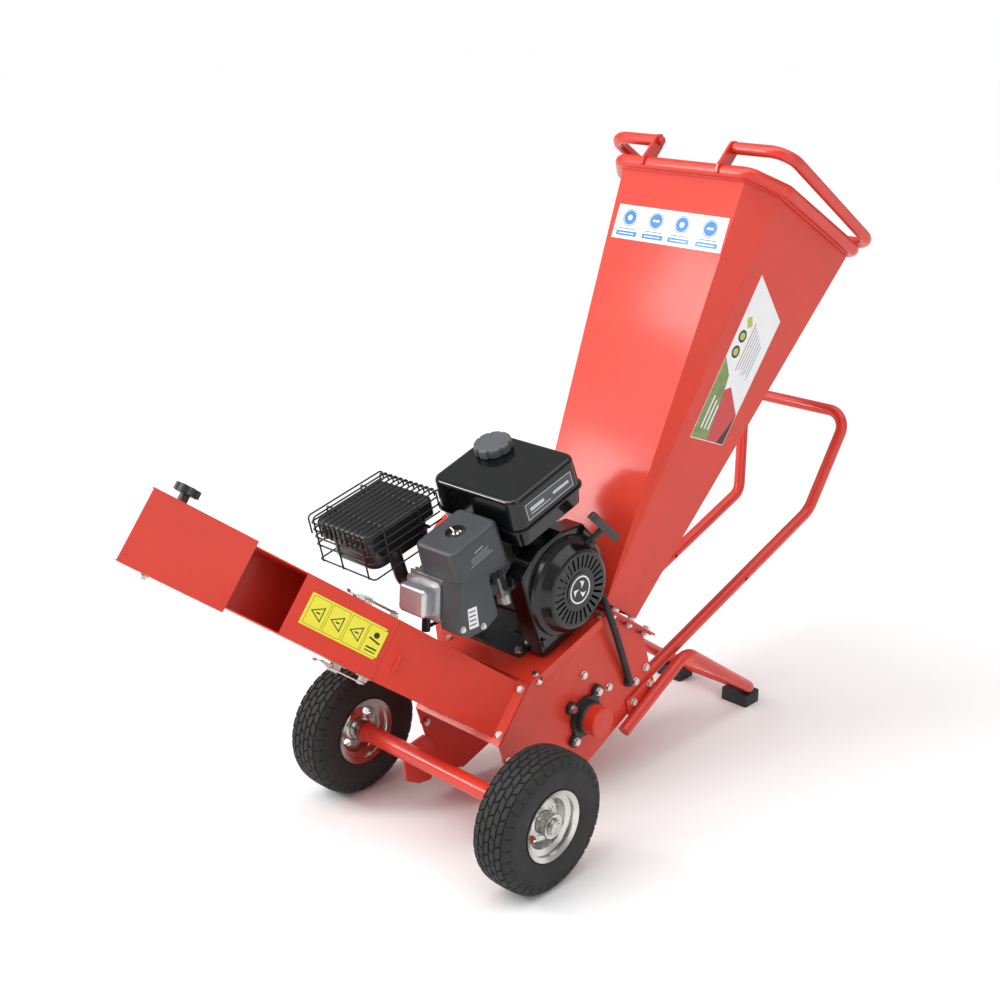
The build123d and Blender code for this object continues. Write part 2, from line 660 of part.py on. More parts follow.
SB_R = 11.5
SB_TILT = math.radians(3.6)
SB_O = R3(0, SB_P[0], SB_P[1])
SB_Y = RD * math.cos(SB_TILT) - RN * math.sin(SB_TILT)
SB_Z = RN * math.cos(SB_TILT) + RD * math.sin(SB_TILT)
SBP = Plane(origin=SB_O, x_dir=XD, z_dir=SB_Z)
with BuildLine(SBP) as sl:
    FilletPolyline((102, 0), (210, 0), (210, 385), (-210, 385), (-210, 0), (-102, 0), radius=42)
with BuildPart() as hopper_stop_bar:
    with BuildSketch(Plane(origin=SB_O + XD * 102, x_dir=SB_Z, z_dir=XD)):
        Circle(SB_R)
    sweep(path=sl.wires()[0])
    for sgn in (-1, 1):
        with BuildSketch(Plane(origin=SB_O + XD * (sgn * 80), x_dir=SB_Z, z_dir=XD * sgn)):
            Circle(5.0)
        extrude(amount=23)
        with BuildSketch(Plane(origin=SB_O + XD * (sgn * 84.9), x_dir=SB_Z, z_dir=XD * -sgn)):
            RegularPolygon(8.5, 6)
        extrude(amount=6)
        with BuildSketch(Plane(origin=SB_O + XD * (sgn * 91.1), x_dir=SB_Z, z_dir=XD * sgn)):
            Circle(SB_R)
        extrude(amount=11)

# ============================ handle =========================================
HR = 12.5
HX = 93.0


def W2(x, yz):
    return W(x, yz[0], yz[1])


HA, HB_, HC = (425.0, 164.0), (1046.0, 388.0), (1108.0, 606.0)
with BuildLine() as hl:
    FilletPolyline(W2(HX, HA), W2(HX, HB_), W2(136, HC), W2(-136, HC), W2(-HX, HB_), W2(-HX, HA), radius=38)
with BuildPart() as handle_frame:
    with BuildSketch(Plane(origin=W2(HX, HA), z_dir=(W2(HX, HB_) - W2(HX, HA)).normalized())):
        Circle(HR)
    sweep(path=hl.wires()[0])
    # cross pin holes in the arms
    with BuildSketch(Plane(origin=W(-120, 801, 299.5), x_dir=Vector(0, 1, 0), z_dir=XD)):
        Circle(4.5)
    extrude(amount=240, mode=Mode.SUBTRACT)
    # tabs welded on the arms and bolted to the side plates
    for sgn in (-1, 1):
        x0 = 101.7 if sgn > 0 else -106.7
        with BuildSketch(side_plane(x0)):
            Polygon((248, -240), (306, -222), (306, -184), (250, -192), align=None)
            with Locations(*HANDLE_BOLTS):
                Circle(4.2, mode=Mode.SUBTRACT)
        extrude(amount=5.0)

# ============================ rear stand =====================================
STX = 123.3
SA = B(0, 190.0, -274.0)
SAy, SAz = SA.Y - SY, SA.Z
with BuildLine() as stl:
    FilletPolyline(W(STX, SAy, SAz), W(STX, 574, 212), W(STX, 834, 32.5), W(-STX, 834, 32.5), W(-STX, 574, 212), W(-STX, SAy, SAz), radius=44)
with BuildPart() as rear_stand:
    with BuildSketch(Plane(origin=W(STX, SAy, SAz), z_dir=(W(STX, 574, 212) - W(STX, SAy, SAz)).normalized())):
        Circle(HR)
    sweep(path=stl.wires()[0])
    for sgn in (-1, 1):
        x0 = 110.2 if sgn > 0 else -115.2
        with BuildSketch(side_plane(x0)):
            Polygon((222, -262), (308, -250), (308, -222), (224, -227), align=None)
            with Locations(*STAND_BOLTS):
                Circle(4.2, mode=Mode.SUBTRACT)
        extrude(amount=5.0)
with BuildPart() as stand_feet:
    for sgn in (-1, 1):
        with BuildSketch(Plane(origin=W(sgn * 90, 828, 0), x_dir=XD, z_dir=Vector(0, 0, 1))):
            RectangleRounded(66, 50, 4)
        extrude(amount=27)
    add(rear_stand.part, mode=Mode.SUBTRACT)

# ============================ rotor ==========================================
def rot(x):
    return Plane(origin=B(x, ROT_Y, ROT_Z), x_dir=YP, z_dir=XD)


with BuildPart() as rotor_shaft:
    with BuildSketch(rot(-192)):
        Circle(SHAFT_R)
    extrude(amount=192 + 138)
    chamfer(rotor_shaft.edges().filter_by(GeomType.CIRCLE), 1.5)

with BuildPart() as rotor_drum:
    with BuildSketch(rot(-94)):
        Circle(DRUM_R)
        Circle(SHAFT_R + 0.02, mode=Mode.SUBTRACT)
        for k in (0, 1):
            a = math.radians(90 + 180 * k)
            with Locations(((DRUM_R - 6) * math.cos(a), (DRUM_R - 6) * math.sin(a))):
                Rectangle(46, 26, mode=Mode.SUBTRACT)
    extrude(amount=188)

with BuildPart() as rotor_blades:
    for k in (0, 1):
        s_ = 1 if k == 0 else -1
        with BuildSketch(rot(-92)):
            Polygon((-22.9 * s_, (DRUM_R - 18.9) * s_), (22.9 * s_, (DRUM_R - 18.9) * s_), (22.9 * s_, (DRUM_R - 10) * s_), (10 * s_, (DRUM_R - 6) * s_),
                    (-6 * s_, (DRUM_R + 6.5) * s_), (-10 * s_, (DRUM_R + 6.5) * s_), (-10 * s_, (DRUM_R - 10) * s_), (-22.9 * s_, (DRUM_R - 10) * s_), align=None)
        extrude(amount=184)

with BuildPart() as counter_blade:
    with BuildSketch(side_plane(-PLATE_IN + 0.3)):
        Polygon((201.8, -168.5), (207.0, -171.0), (251.0, -146.2), (247.0, -139.2), (204.5, -163.0), align=None)
    extrude(amount=2 * PLATE_IN - 0.6)


def bearing(sgn):
    x0 = 110.2 if sgn > 0 else -110.2
    pl = Plane(origin=B(x0, ROT_Y, ROT_Z), x_dir=YP if sgn > 0 else YP * -1, z_dir=XD * sgn)
    pts = [(sgn * (y - ROT_Y), z - ROT_Z) for y, z in BRG_BOLTS]
    with BuildPart() as b:
        with BuildSketch(pl):
            Circle(40)
            with Locations(*pts):
                Circle(13)
            Polygon(*[pts[0], pts[1], pts[2], pts[3]], align=None)
            with Locations(*pts):
                Circle(4.2, mode=Mode.SUBTRACT)
            Circle(SHAFT_R + RUN, mode=Mode.SUBTRACT)
        extrude(amount=8)
        with BuildSketch(pl.offset(8)):
            Circle(33)
            Circle(SHAFT_R + RUN, mode=Mode.SUBTRACT)
        extrude(amount=14)
        chamfer(b.faces().sort_by(Axis(pl.origin, pl.z_dir))[-1].edges().sort_by(SortBy.RADIUS)[-1], 2.5)
    return b


br_r, br_l = bearing(1), bearing(-1)
with BuildPart() as rotor_bearings:
    add(br_r.part)
    add(br_l.part)

# dust cap over the shaft end, hollow so that the shaft turns inside
with BuildPart() as bearing_cap:
    with BuildSketch(rot(132.3)):
        Circle(30)
    extrude(amount=26)
    with BuildSketch(rot(132.3)):
        Circle(18)
    extrude(amount=14, mode=Mode.SUBTRACT)
    chamfer(bearing_cap.faces().sort_by(Axis.X)[-1].edges(), 2.5)

# ============================ belt drive =====================================
PX = -166.0
P_BIG, P_SMALL = 62.0, 42.0


def pulley(y, z, R, bore, hub):
    with BuildPart() as p:
        pl = Plane(origin=B(PX, y, z), x_dir=ZP, z_dir=YP)     # local x radius, local y = +X
        with BuildSketch(pl):
            Polygon((bore, -17), (R, -17), (R, -14.5), (R - 10, -11.5), (R - 10, -5.5), (R, -2), (R, 2), (R - 10, 5.5), (R - 10, 11.5),
                    (R, 14.5), (R, 17), (bore, 17), align=None)
            if hub:
                Polygon((bore, -24), (bore + 12, -24), (bore + 12, 24), (bore, 24), align=None)
        revolve(axis=Axis(B(PX, y, z), XD))
    return p


driven_pulley = pulley(ROT_Y, ROT_Z, P_BIG, SHAFT_R + 0.02, True)
with BuildPart() as drive_pulley:
    add(pulley(CR_Y, CR_Z, P_SMALL, CRANK_R + 0.02, False).part)
    # clutch drum on the engine side
    with BuildSketch(Plane(origin=B(PX + 17, CR_Y, CR_Z), x_dir=YP, z_dir=XD)):
        Circle(52)
        Circle(CRANK_R + 0.02, mode=Mode.SUBTRACT)
    extrude(amount=22)


def belt_sketch(r1, r2):
    """Area inside a belt round both pulleys (driven radius r1, drive radius r2)."""
    dx, dz = CR_Y - ROT_Y, CR_Z - ROT_Z
    d = math.hypot(dx, dz)
    th = math.atan2(dz, dx)
    b = math.acos((r1 - r2) / d)
    q = []
    for s_ in (1, -1):
        a = th + s_ * b
        q.append(((ROT_Y + r1 * math.cos(a), ROT_Z + r1 * math.sin(a)), (CR_Y + r2 * math.cos(a), CR_Z + r2 * math.sin(a))))
    with BuildSketch(Plane.XY, mode=Mode.PRIVATE) as sk:
        with Locations((ROT_Y, ROT_Z)):
            Circle(r1)
        with Locations((CR_Y, CR_Z)):
            Circle(r2)
        Polygon(q[0][0], q[0][1], q[1][1], q[1][0], align=None)
    return sk.sketch


with BuildPart() as belts:
    for xo in (-8.5, 8.5):
        with BuildSketch(side_plane(PX + xo - 2.6)):
            add(belt_sketch(P_BIG - 2.5, P_SMALL - 2.5))
            add(belt_sketch(P_BIG - 9.5, P_SMALL - 9.5), mode=Mode.SUBTRACT)
        extrude(amount=5.2)

# guard box over pulleys and belts, fixed to the left side plate and engine
GX0, GX1 = -196.0, -121.5
with BuildPart() as belt_guard:
    with BuildSketch(side_plane(GX0)):
        add(belt_sketch(80, 72))
    extrude(amount=GX1 - GX0)
    with BuildSketch(side_plane(GX0 + 2)):
        add(belt_sketch(78, 70))
    extrude(amount=GX1 - GX0, mode=Mode.SUBTRACT)
    # mounting feet to the side plate
    for (_a, _b) in ((ROT_Y + 77.0, ROT_Z - 17.0), (ROT_Y - 77.0, ROT_Z - 4.0)):
        with BuildSketch(side_plane(-124)):
            with Locations((_a, _b)):
                Rectangle(8, 30)
        extrude(amount=13.8)

# ============================ engine =========================================
BCX = -22.0
CU = (-math.cos(math.radians(22.0)), math.sin(math.radians(22.0)))      # cylinder direction in (y', z')
CV = (CU[1], -CU[0])                                                      # across it, upwards


def cyl(d, v):
    return (CR_Y + CU[0] * d + CV[0] * v, CR_Z + CU[1] * d + CV[1] * v)


def cyl_box(x0, x1, d0, d1, v0, v1):
    with BuildSketch(side_plane(x0), mode=Mode.PRIVATE) as sk:
        Polygon(cyl(d0, v0), cyl(d1, v0), cyl(d1, v1), cyl(d0, v1), align=None)
    extrude(sk.sketch, amount=x1 - x0)


with BuildPart() as crankcase:
    with BuildSketch(deck_plane(0.0)):
        with Locations((-24, 132)):
            RectangleRounded(160, 180, 8)
        with Locations(*ENG_BOLTS):
            Circle(4.6, mode=Mode.SUBTRACT)
    extrude(amount=8)
    with BuildSketch(side_plane(-84)):
        Polygon((88, 7), (196, 7), (200, 34), (226, 60), (226, 150), (208, 176), (120, 176), (88, 150), align=None)
        with Locations((CR_Y, CR_Z)):
            Circle(CRANK_R + RUN, mode=Mode.SUBTRACT)
    extrude(amount=140)
    # posts that carry the tank
    for _x in (-78, 26):
        for _y in (128, 206):
            with BuildSketch(deck_plane(174)):
                with Locations((_x, _y)):
                    Rectangle(16, 12)
            extrude(amount=62)
    # cooling fins of the barrel
    cyl_box(-54, 10, 40, 196, -31, 31)
    for k in range(10):
        cyl_box(-64, 18, 74 + 11.5 * k, 77.5 + 11.5 * k, -40, 38)

with BuildPart() as cylinder_head:
    cyl_box(-58, 14, 196.2, 240, -33, 33)
    for k in range(4):
        cyl_box(-66, 20, 199 + 11.5 * k, 202.5 + 11.5 * k, -42, 40)
with BuildPart() as valve_cover:
    with BuildSketch(Plane(origin=B(BCX, *cyl(240.2, 0)), x_dir=XD, z_dir=YP * CU[0] + ZP * CU[1])):
        RectangleRounded(84, 72, 9)
    extrude(amount=6)
    with BuildSketch(Plane(origin=B(BCX, *cyl(246, 0)), x_dir=XD, z_dir=YP * CU[0] + ZP * CU[1])):
        RectangleRounded(72, 58, 12)
    extrude(amount=30, taper=6)
    fillet(valve_cover.faces().sort_by(Axis(B(0, 0, 0), YP * CU[0] + ZP * CU[1]))[-1].edges(), 7)

with BuildPart() as crankshaft:
    with BuildSketch(Plane(origin=B(-191, CR_Y, CR_Z), x_dir=YP, z_dir=XD)):
        Circle(CRANK_R)
    extrude(amount=191 + 62)
    # flywheel
    with BuildSketch(Plane(origin=B(62.5, CR_Y, CR_Z), x_dir=YP, z_dir=XD)):
        Circle(70)
    extrude(amount=26)
    with BuildSketch(Plane(origin=B(60, CR_Y, CR_Z), x_dir=YP, z_dir=XD)):
        Circle(14)
    extrude(amount=34)

FAN = [(60.0, 6.0), (76.0, 1.0), (212.0, 1.0), (236.0, 30.0), (254.0, 62.0), (258.0, 110.0), (254.0, 150.0), (232.0, 196.0), (176.0, 214.0), (112.0, 214.0), (58.0, 186.0)]
with BuildPart() as fan_cover:
    with BuildSketch(side_plane(59)):
        Polygon(*FAN, align=None)
    extrude(amount=41)
    fillet(fan_cover.edges().filter_by(lambda e: abs(e.tangent_at(0).dot(XD)) > 0.99), 8)
    fillet(fan_cover.faces().sort_by(Axis.X)[-1].edges(), 4)
    with BuildSketch(Plane(origin=B(58, CR_Y, CR_Z), x_dir=YP, z_dir=XD)):
        Circle(76)
    extrude(amount=40, mode=Mode.SUBTRACT)
    with BuildSketch(Plane(origin=B(58, CR_Y, CR_Z), x_dir=YP, z_dir=XD)):
        Circle(40)
    extrude(amount=60, mode=Mode.SUBTRACT)

RCX = 100.05
RUA = Vector(0.349, 0.812, 0.4675).normalized()                # pull direction in x, y', z'
RTB = Vector(-0.11, 0.53, -0.84)
RTB = (RTB - RUA * RTB.dot(RUA)).normalized()                  # along the grip's bar


def axes(v):
    """Direction given in x, y', z' turned into the common frame."""
    return XD * v.X + YP * v.Y + ZP * v.Z


def pull_plane(d):
    return Plane(origin=B(114, 227, 163.8) + axes(RUA) * d, x_dir=axes(RTB), z_dir=axes(RUA))


with BuildPart() as recoil_cover:
    pl = Plane(origin=B(0, CR_Y, CR_Z), x_dir=ZP, z_dir=YP)
    with BuildSketch(pl):
        with BuildLine():
            Polyline((30.5, 126.5), (30.5, 130.0), (70.0, 130.0), (75.5, 128.0), (79.5, 122.0), (86.0, 112.0), (95.0, 108.0), (97.5, RCX),
                     (94.0, RCX), (92.0, 105.0), (84.0, 109.0), (77.0, 119.0), (73.0, 124.5), (69.0, 126.5), close=True)
        make_face()
    revolve(axis=Axis(B(0, CR_Y, CR_Z), XD))
    # grille slots on the face
    with BuildSketch(Plane(origin=B(120, CR_Y, CR_Z), x_dir=YP, z_dir=XD)):
        with PolarLocations(53.5, 28):
            SlotOverall(25, 4.6)
    extrude(amount=14, mode=Mode.SUBTRACT)
    # badge disc
    with BuildSketch(Plane(origin=B(124.0, CR_Y, CR_Z), x_dir=YP, z_dir=XD)):
        Circle(33)
    extrude(amount=7.5)
    # rope exit
    with BuildSketch(pull_plane(-10)):
        Circle(11)
    extrude(amount=12)
    with BuildSketch(pull_plane(-40)):
        Circle(4.3)
    extrude(amount=60, mode=Mode.SUBTRACT)

with BuildPart() as recoil_handle:
    with BuildSketch(pull_plane(-22)):
        Circle(4.0)
    extrude(amount=52)
    with BuildSketch(pull_plane(2.5)):
        Circle(6.5)
    extrude(amount=27)
    with BuildSketch(pull_plane(28)):
        SlotOverall(112, 20)
    extrude(amount=16)
    fillet(recoil_handle.faces().sort_by(Axis(B(0, 0, 0), axes(RUA)))[-1].edges(), 5)

TKX, TKY = -4.0, 167.0
CAPX, CAPY = -57.0, 203.0
with BuildPart() as fuel_tank:
    with BuildSketch(deck_plane(273)):
        with Locations((TKX, TKY)):
            RectangleRounded(213, 178, 24)
    extrude(amount=62, taper=3)
    fillet(fuel_tank.faces().sort_by(Axis(B(0, 0, 0), ZP))[-1].edges(), 9)
    with BuildSketch(Plane(origin=B(0, 0, 273), x_dir=XD, z_dir=ZP * -1)):
        with Locations((TKX, -TKY)):
            RectangleRounded(211, 176, 24)
    extrude(amount=35, taper=9)
    # seam round the tank
    with BuildSketch(deck_plane(271.5)):
        with Locations((TKX, TKY)):
            RectangleRounded(221, 186, 27)
    extrude(amount=3)
    # filler neck
    with BuildSketch(deck_plane(333)):
        with Locations((CAPX, CAPY)):
            Circle(22)
    extrude(amount=10)
with BuildPart() as fuel_cap:
    with BuildSketch(deck_plane(336.0)):
        with Locations((CAPX, CAPY)):
            Circle(36)
            with PolarLocations(32.5, 9):
                Circle(6.5)
            Circle(22.05, mode=Mode.SUBTRACT)
    extrude(amount=7.35)
    with BuildSketch(deck_plane(343.35)):
        with Locations((CAPX, CAPY)):
            Circle(36)
            with PolarLocations(32.5, 9):
                Circle(6.5)
    extrude(amount=11)
    fillet(fuel_cap.faces().sort_by(Axis(B(0, 0, 0), ZP))[-1].edges(), 3.5)

ACX, ACY = 19.0, 8.0           # air cleaner centre
ACT = 303.0                     # its top


def seam_z(y):
    """Height of the joint between the cover and the base, which falls to the rear."""
    return 244.0 - 0.278 * (y + 47.0)


with BuildPart() as air_cleaner_base:
    with BuildSketch(side_plane(22)):
        Polygon((-50, seam_z(-50) - 4), (20, seam_z(20) - 4), (14, 205), (12, 130), (-22, 122), (-64, 134), (-84, 152), (-66, 196), align=None)
    extrude(amount=44)
    fillet(air_cleaner_base.edges().filter_by(lambda e: abs(e.tangent_at(0).dot(XD)) > 0.99 and e.center().Z < B(0, 0, 160).Z), 8)
    with BuildSketch(side_plane(-25)):
        Polygon((-50, seam_z(-50) - 8), (68, seam_z(68) - 8), (68, seam_z(68) - 0.1), (-50, seam_z(-50) - 0.1), align=None)
    extrude(amount=92)
    # intake elbow to the carburettor
    with BuildSketch(Plane(origin=B(38, 10, 165), x_dir=XD, z_dir=YP)):
        Circle(13)
    extrude(amount=30.7)
with BuildPart() as air_cleaner_cover:
    with BuildSketch(deck_plane(200)):
        with Locations((ACX, ACY)):
            RectangleRounded(106, 128, 18)
    extrude(amount=ACT - 200, taper=2.6)
    fillet(air_cleaner_cover.faces().sort_by(Axis(B(0, 0, 0), ZP))[-1].edges(), 8)
    with BuildSketch(side_plane(-60)):
        Polygon((-80, 180), (120, 180), (120, seam_z(120)), (-80, seam_z(-80)), align=None)
    extrude(amount=170, mode=Mode.SUBTRACT)
    with BuildSketch(deck_plane(ACT - 10)):
        with Locations((ACX, ACY)):
            Circle(19)
    extrude(amount=20, mode=Mode.SUBTRACT)
    with BuildSketch(deck_plane(ACT - 11)):
        with Locations((ACX, ACY)):
            Circle(2.5)
    extrude(amount=12)
with BuildPart() as wing_nut:
    with BuildSketch(deck_plane(ACT - 9.7)):
        with Locations((ACX, ACY)):
            Circle(6.5)
            Circle(2.55, mode=Mode.SUBTRACT)
    extrude(amount=6)
    for sgn in (-1, 1):
        with BuildSketch(Plane(origin=B(ACX, ACY, ACT - 9.7) - YP * 1.5, x_dir=XD, z_dir=YP)):
            Polygon((sgn * 3.2, -2), (sgn * 8, -4), (sgn * 15, -13), (sgn * 11, -15), (sgn * 3.2, -8), align=None)
        extrude(amount=3)

with BuildPart() as carburettor:
    with BuildSketch(side_plane(19)):
        Polygon((41, 142), (84, 142), (84, 186), (41, 186), align=None)
    extrude(amount=36)
    with BuildSketch(deck_plane(118)):
        with Locations((37, 62)):
            Circle(15)
    extrude(amount=26)
with BuildPart() as choke_lever:
    with BuildSketch(side_plane(55.2)):
        Polygon((46, 158), (52, 152), (58, 158), (57, 170), (50, 202), (44, 202), (46, 170), align=None)
    extrude(amount=2.5)
    with BuildSketch(side_plane(57.5)):
        with Locations((47, 198)):
            Circle(4)
    extrude(amount=0.9)
with BuildPart() as stop_switch:
    with BuildSketch(side_plane(101.6)):
        with Locations((68, 36)):
            Rectangle(9, 16)
    extrude(amount=4.6)

# muffler with its pipe, inside a wire cage
GT = math.radians(-4.7)
GYD = YP * math.cos(GT) + ZP * math.sin(GT)
GZD = ZP * math.cos(GT) - YP * math.sin(GT)
GO = B(-158, -18, 330)


def guard_plane(h):
    return Plane(origin=GO + GZD * h, x_dir=XD, z_dir=GZD)


with BuildPart() as muffler:
    with BuildSketch(guard_plane(-94)):
        RectangleRounded(122, 146, 26)
    extrude(amount=66)
    fillet(muffler.faces().sort_by(Axis(GO, GZD))[0].edges(), 12)
    with BuildLine() as ml:
        FilletPolyline(B(-66.3, -44, 188), B(-104, -44, 188), B(-104, -44, 262), radius=17)
    with BuildSketch(Plane(origin=B(-66.3, -44, 188), x_dir=YP, z_dir=XD * -1)):
        Circle(13)
    sweep(path=ml.wires()[0])
    # louvred heat shield over it, open at the foot
    with BuildSketch(guard_plane(-46)):
        RectangleRounded(138, 164, 12)
    extrude(amount=34)
    fillet(muffler.faces().sort_by(Axis(GO, GZD))[-1].edges(), 6)
    # square vents along both long edges, narrow ones across the front
    for k in range(12):
        for sgn in (-1, 1):
            with BuildSketch(guard_plane(-13.5)):
                with Locations((sgn * 58, -66 + 12 * k)):
                    Rectangle(9, 5.5)
            extrude(amount=3, mode=Mode.SUBTRACT)
    for k in range(10):
        with BuildSketch(Plane(origin=GO - GYD * 83 - GZD * 30, x_dir=XD, z_dir=GYD)):
            with Locations((-54 + 12 * k, 0)):
                Rectangle(5, 22)
        extrude(amount=2.5, mode=Mode.SUBTRACT)

WR = 2.0
GW, GL, GH = 76.0, 92.0, 92.0
with BuildPart() as muffler_guard:
    def bar(p, q):
        d = (q - p)
        dn = d.normalized()
        xd = GZD if abs(dn.dot(GZD)) < 0.5 else XD
        with BuildSketch(Plane(origin=p, x_dir=xd, z_dir=dn), mode=Mode.PRIVATE) as sk:
            Rectangle(2 * WR, 2 * WR)
        extrude(sk.sketch, amount=d.length)

    def G(x, y, h):
        return GO + XD * x + GYD * y + GZD * h
    for k in range(7):
        x = -GW + 2 * GW * k / 6
        bar(G(x, -GL, 0), G(x, GL, 0))
        bar(G(x, -GL, WR), G(x, -GL, -GH))
    for k in range(6):
        y = -GL + 2 * GL * k / 5
        bar(G(-GW - WR, y, 0), G(GW + WR, y, 0))
        bar(G(GW, y, WR), G(GW, y, -GH))
        bar(G(-GW, y, WR), G(-GW, y, -GH))
    for h in (-27, -54, -GH):
        bar(G(-GW - WR, -GL, h), G(GW + WR, -GL, h))
        bar(G(GW, -GL, h), G(GW, GL, h))
        bar(G(-GW, -GL, h), G(-GW, GL, h))
    # clips to the muffler underside
    for sgn in (-1, 1):
        bar(G(-GW, sgn * GL * 0.6, -60), G(-61.2, sgn * GL * 0.6, -60))
        bar(G(61.2, sgn * GL * 0.6, -60), G(GW, sgn * GL * 0.6, -60))
        bar(G(sgn * GW, sgn * 40, -GH + 8), G(sgn * GW, sgn * 80, -GH + 8))

with BuildPart() as spark_plug:
    SPP = B(-40, *cyl(219, -42.2))
    SPD = YP * -CV[0] + ZP * -CV[1]
    with BuildSketch(Plane(origin=SPP, x_dir=XD, z_dir=SPD)):
        Circle(8)
    extrude(amount=34)
    SPE = SPP + SPD * 28
    with BuildLine() as spl:
        FilletPolyline(SPE, B(-40, 66, 86), B(58.8, 70, 86), radius=44)
    with BuildSketch(Plane(origin=SPE, z_dir=(B(-40, 66, 86) - SPE).normalized())):
        Circle(3.5)
    sweep(path=spl.wires()[0])

with BuildPart() as oil_dipstick:
    OD = YP * -0.8 + ZP * 0.6
    with BuildSketch(Plane(origin=B(34, 87.6, 30) , x_dir=XD, z_dir=YP * -1)):
        Circle(12)
    extrude(amount=12)
    with BuildSketch(Plane(origin=B(34, 76, 30), x_dir=XD, z_dir=YP * -1)):
        Rectangle(20, 5)
    extrude(amount=7)

# corrugated conduit down the right side plate
CDT_R = 7.0
CDT = [B(108, 230, 35), B(128.6, 216.5, 14), B(128.6, 224, -60), B(118.5, 240, -184)]
with BuildLine() as cl:
    FilletPolyline(*CDT, radius=38)
with BuildPart() as conduit:
    with BuildSketch(Plane(origin=CDT[0], z_dir=(CDT[1] - CDT[0]).normalized())):
        Circle(CDT_R)
    sweep(path=cl.wires()[0])
    # gland where it enters the side plate
    with BuildSketch(side_plane(110.1)):
        with Locations((240.5, -188)):
            Circle(11)
    extrude(amount=12)
print("conduit length", round(cl.wires()[0].length, 1), "bend radii 38, lead length", round(spl.wires()[0].length, 1), "bend radius 44")

# ============================ fasteners ======================================
with BuildPart() as frame_bolts:
    def disc(p, d, r, h, hexagon=False):
        with BuildSketch(Plane(origin=p, z_dir=d), mode=Mode.PRIVATE) as sk:
            if hexagon:
                RegularPolygon(hexa(r), 6)
            else:
                Circle(r)
        extrude(sk.sketch, amount=h)

    def bolt(p, d, head, shank, nut=True, af=6.5, wr=8.2, sr=4.0):
        """Hex bolt: head side at p looking along d, shank going back from p."""
        disc(p, d, af, head, True)
        disc(p, d, wr, 1.5)
        disc(p, d * -1, sr, shank)
        if nut:
            disc(p - d * (shank - 8.0), d * -1, af, 5.5, True)
    for sgn in (-1, 1):
        D = XD * sgn
        for (y, z) in PLATE_BOLTS:
            bolt(B(sgn * 110.05, y, z), D, 6.0, 11.2)
        for (y, z) in STAND_BOLTS:
            bolt(B(sgn * 115.25, y, z), D, 6.0, 8.2, nut=False)
        for (y, z) in BRG_BOLTS:
            bolt(B(sgn * 118.25, y, z), D, 6.0, 19.4)
        for (y, z) in HANDLE_BOLTS:
            bolt(B(sgn * 110.05, y, z), D, 6.0, 16.5)
    for (x, y) in TRAY_BOLTS:
        bolt(B(x, y, 0.05), ZP, 5.0, 4.0, nut=False, af=5.0, wr=6.6, sr=3.2)
    for (x, y) in ENG_BOLTS:
        bolt(B(x, y, 8.05), ZP, 6.0, 20.3, af=6.5)
    for x in (-99.5, 99.5):
        for y in (-45.0, 45.0):
            bolt(FLP.origin + FLP.x_dir * x + FLP.y_dir * y + CD0 * 4.05, CD0, 5.0, 15.3, af=5.0, wr=6.8, sr=3.2)
    for x in (-118.0, 118.0):
        for y in (14.0, 74.0, 134.0):
            bolt(HF.origin + HF.x_dir * x + HF.y_dir * HS * y + HF.z_dir * 4.05, HF.z_dir, 6.0, 15.1)

# nodes joined from their welded pieces
with BuildPart() as axle_set:
    add(axle_shaft.part)
    add(axle_end_caps.part)
with BuildPart() as tube_set:
    add(axle_tube.part)
    add(axle_brackets.part)
with BuildPart() as casing_set:
    add(rotor_housing.part)
    add(chute_seat.part)
    add(hopper_seat.part)
axle_shaft, axle_tube, rotor_housing = axle_set, tube_set, casing_set

for _name in ("side_plate_right side_plate_left engine_tray rotor_housing chute_base chute_upper chute_deflector deflector_pivot deflector_knob "
              "latch_plates latch_lever_top latch_lever_bottom latch_bail_top latch_bail_bottom hopper_shell hopper_flange hopper_rim_tube "
              "hopper_stop_bar handle_frame rear_stand stand_feet axle_tube axle_shaft tyre_right tyre_left rim_right rim_left "
              "rotor_shaft rotor_drum rotor_blades counter_blade rotor_bearings bearing_cap driven_pulley drive_pulley belts belt_guard "
              "crankcase cylinder_head valve_cover crankshaft fan_cover recoil_cover recoil_handle fuel_tank fuel_cap air_cleaner_base "
              "air_cleaner_cover wing_nut carburettor choke_lever stop_switch muffler muffler_guard spark_plug oil_dipstick conduit "
              "frame_bolts hub_bearings").split():
    save(globals()[_name], _name)
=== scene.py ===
import bpy, bmesh, math, random
from mathutils import Vector, Matrix


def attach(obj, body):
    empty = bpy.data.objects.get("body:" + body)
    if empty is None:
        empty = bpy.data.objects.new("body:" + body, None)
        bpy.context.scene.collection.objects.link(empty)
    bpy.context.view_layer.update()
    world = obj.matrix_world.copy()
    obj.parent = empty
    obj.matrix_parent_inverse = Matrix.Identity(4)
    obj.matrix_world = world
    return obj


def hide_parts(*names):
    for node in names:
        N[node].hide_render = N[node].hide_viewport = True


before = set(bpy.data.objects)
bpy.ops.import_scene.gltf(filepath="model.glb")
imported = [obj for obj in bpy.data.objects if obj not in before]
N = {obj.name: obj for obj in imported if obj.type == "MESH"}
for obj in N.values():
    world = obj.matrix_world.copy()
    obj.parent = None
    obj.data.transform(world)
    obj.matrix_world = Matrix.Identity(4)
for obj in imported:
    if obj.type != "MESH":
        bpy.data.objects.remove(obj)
random.seed(7)

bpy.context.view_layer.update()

# --------------------------------------------------------------------------
# the machine's own frames, in metres
# --------------------------------------------------------------------------
SX, SY = 0.03586, -0.31537
PITCH = math.radians(18.5)
YP = Vector((0, math.cos(PITCH), math.sin(PITCH)))
ZP = Vector((0, -math.sin(PITCH), math.cos(PITCH)))
XD = Vector((1, 0, 0))
YD = Vector((0, 1, 0))
ZD = Vector((0, 0, 1))


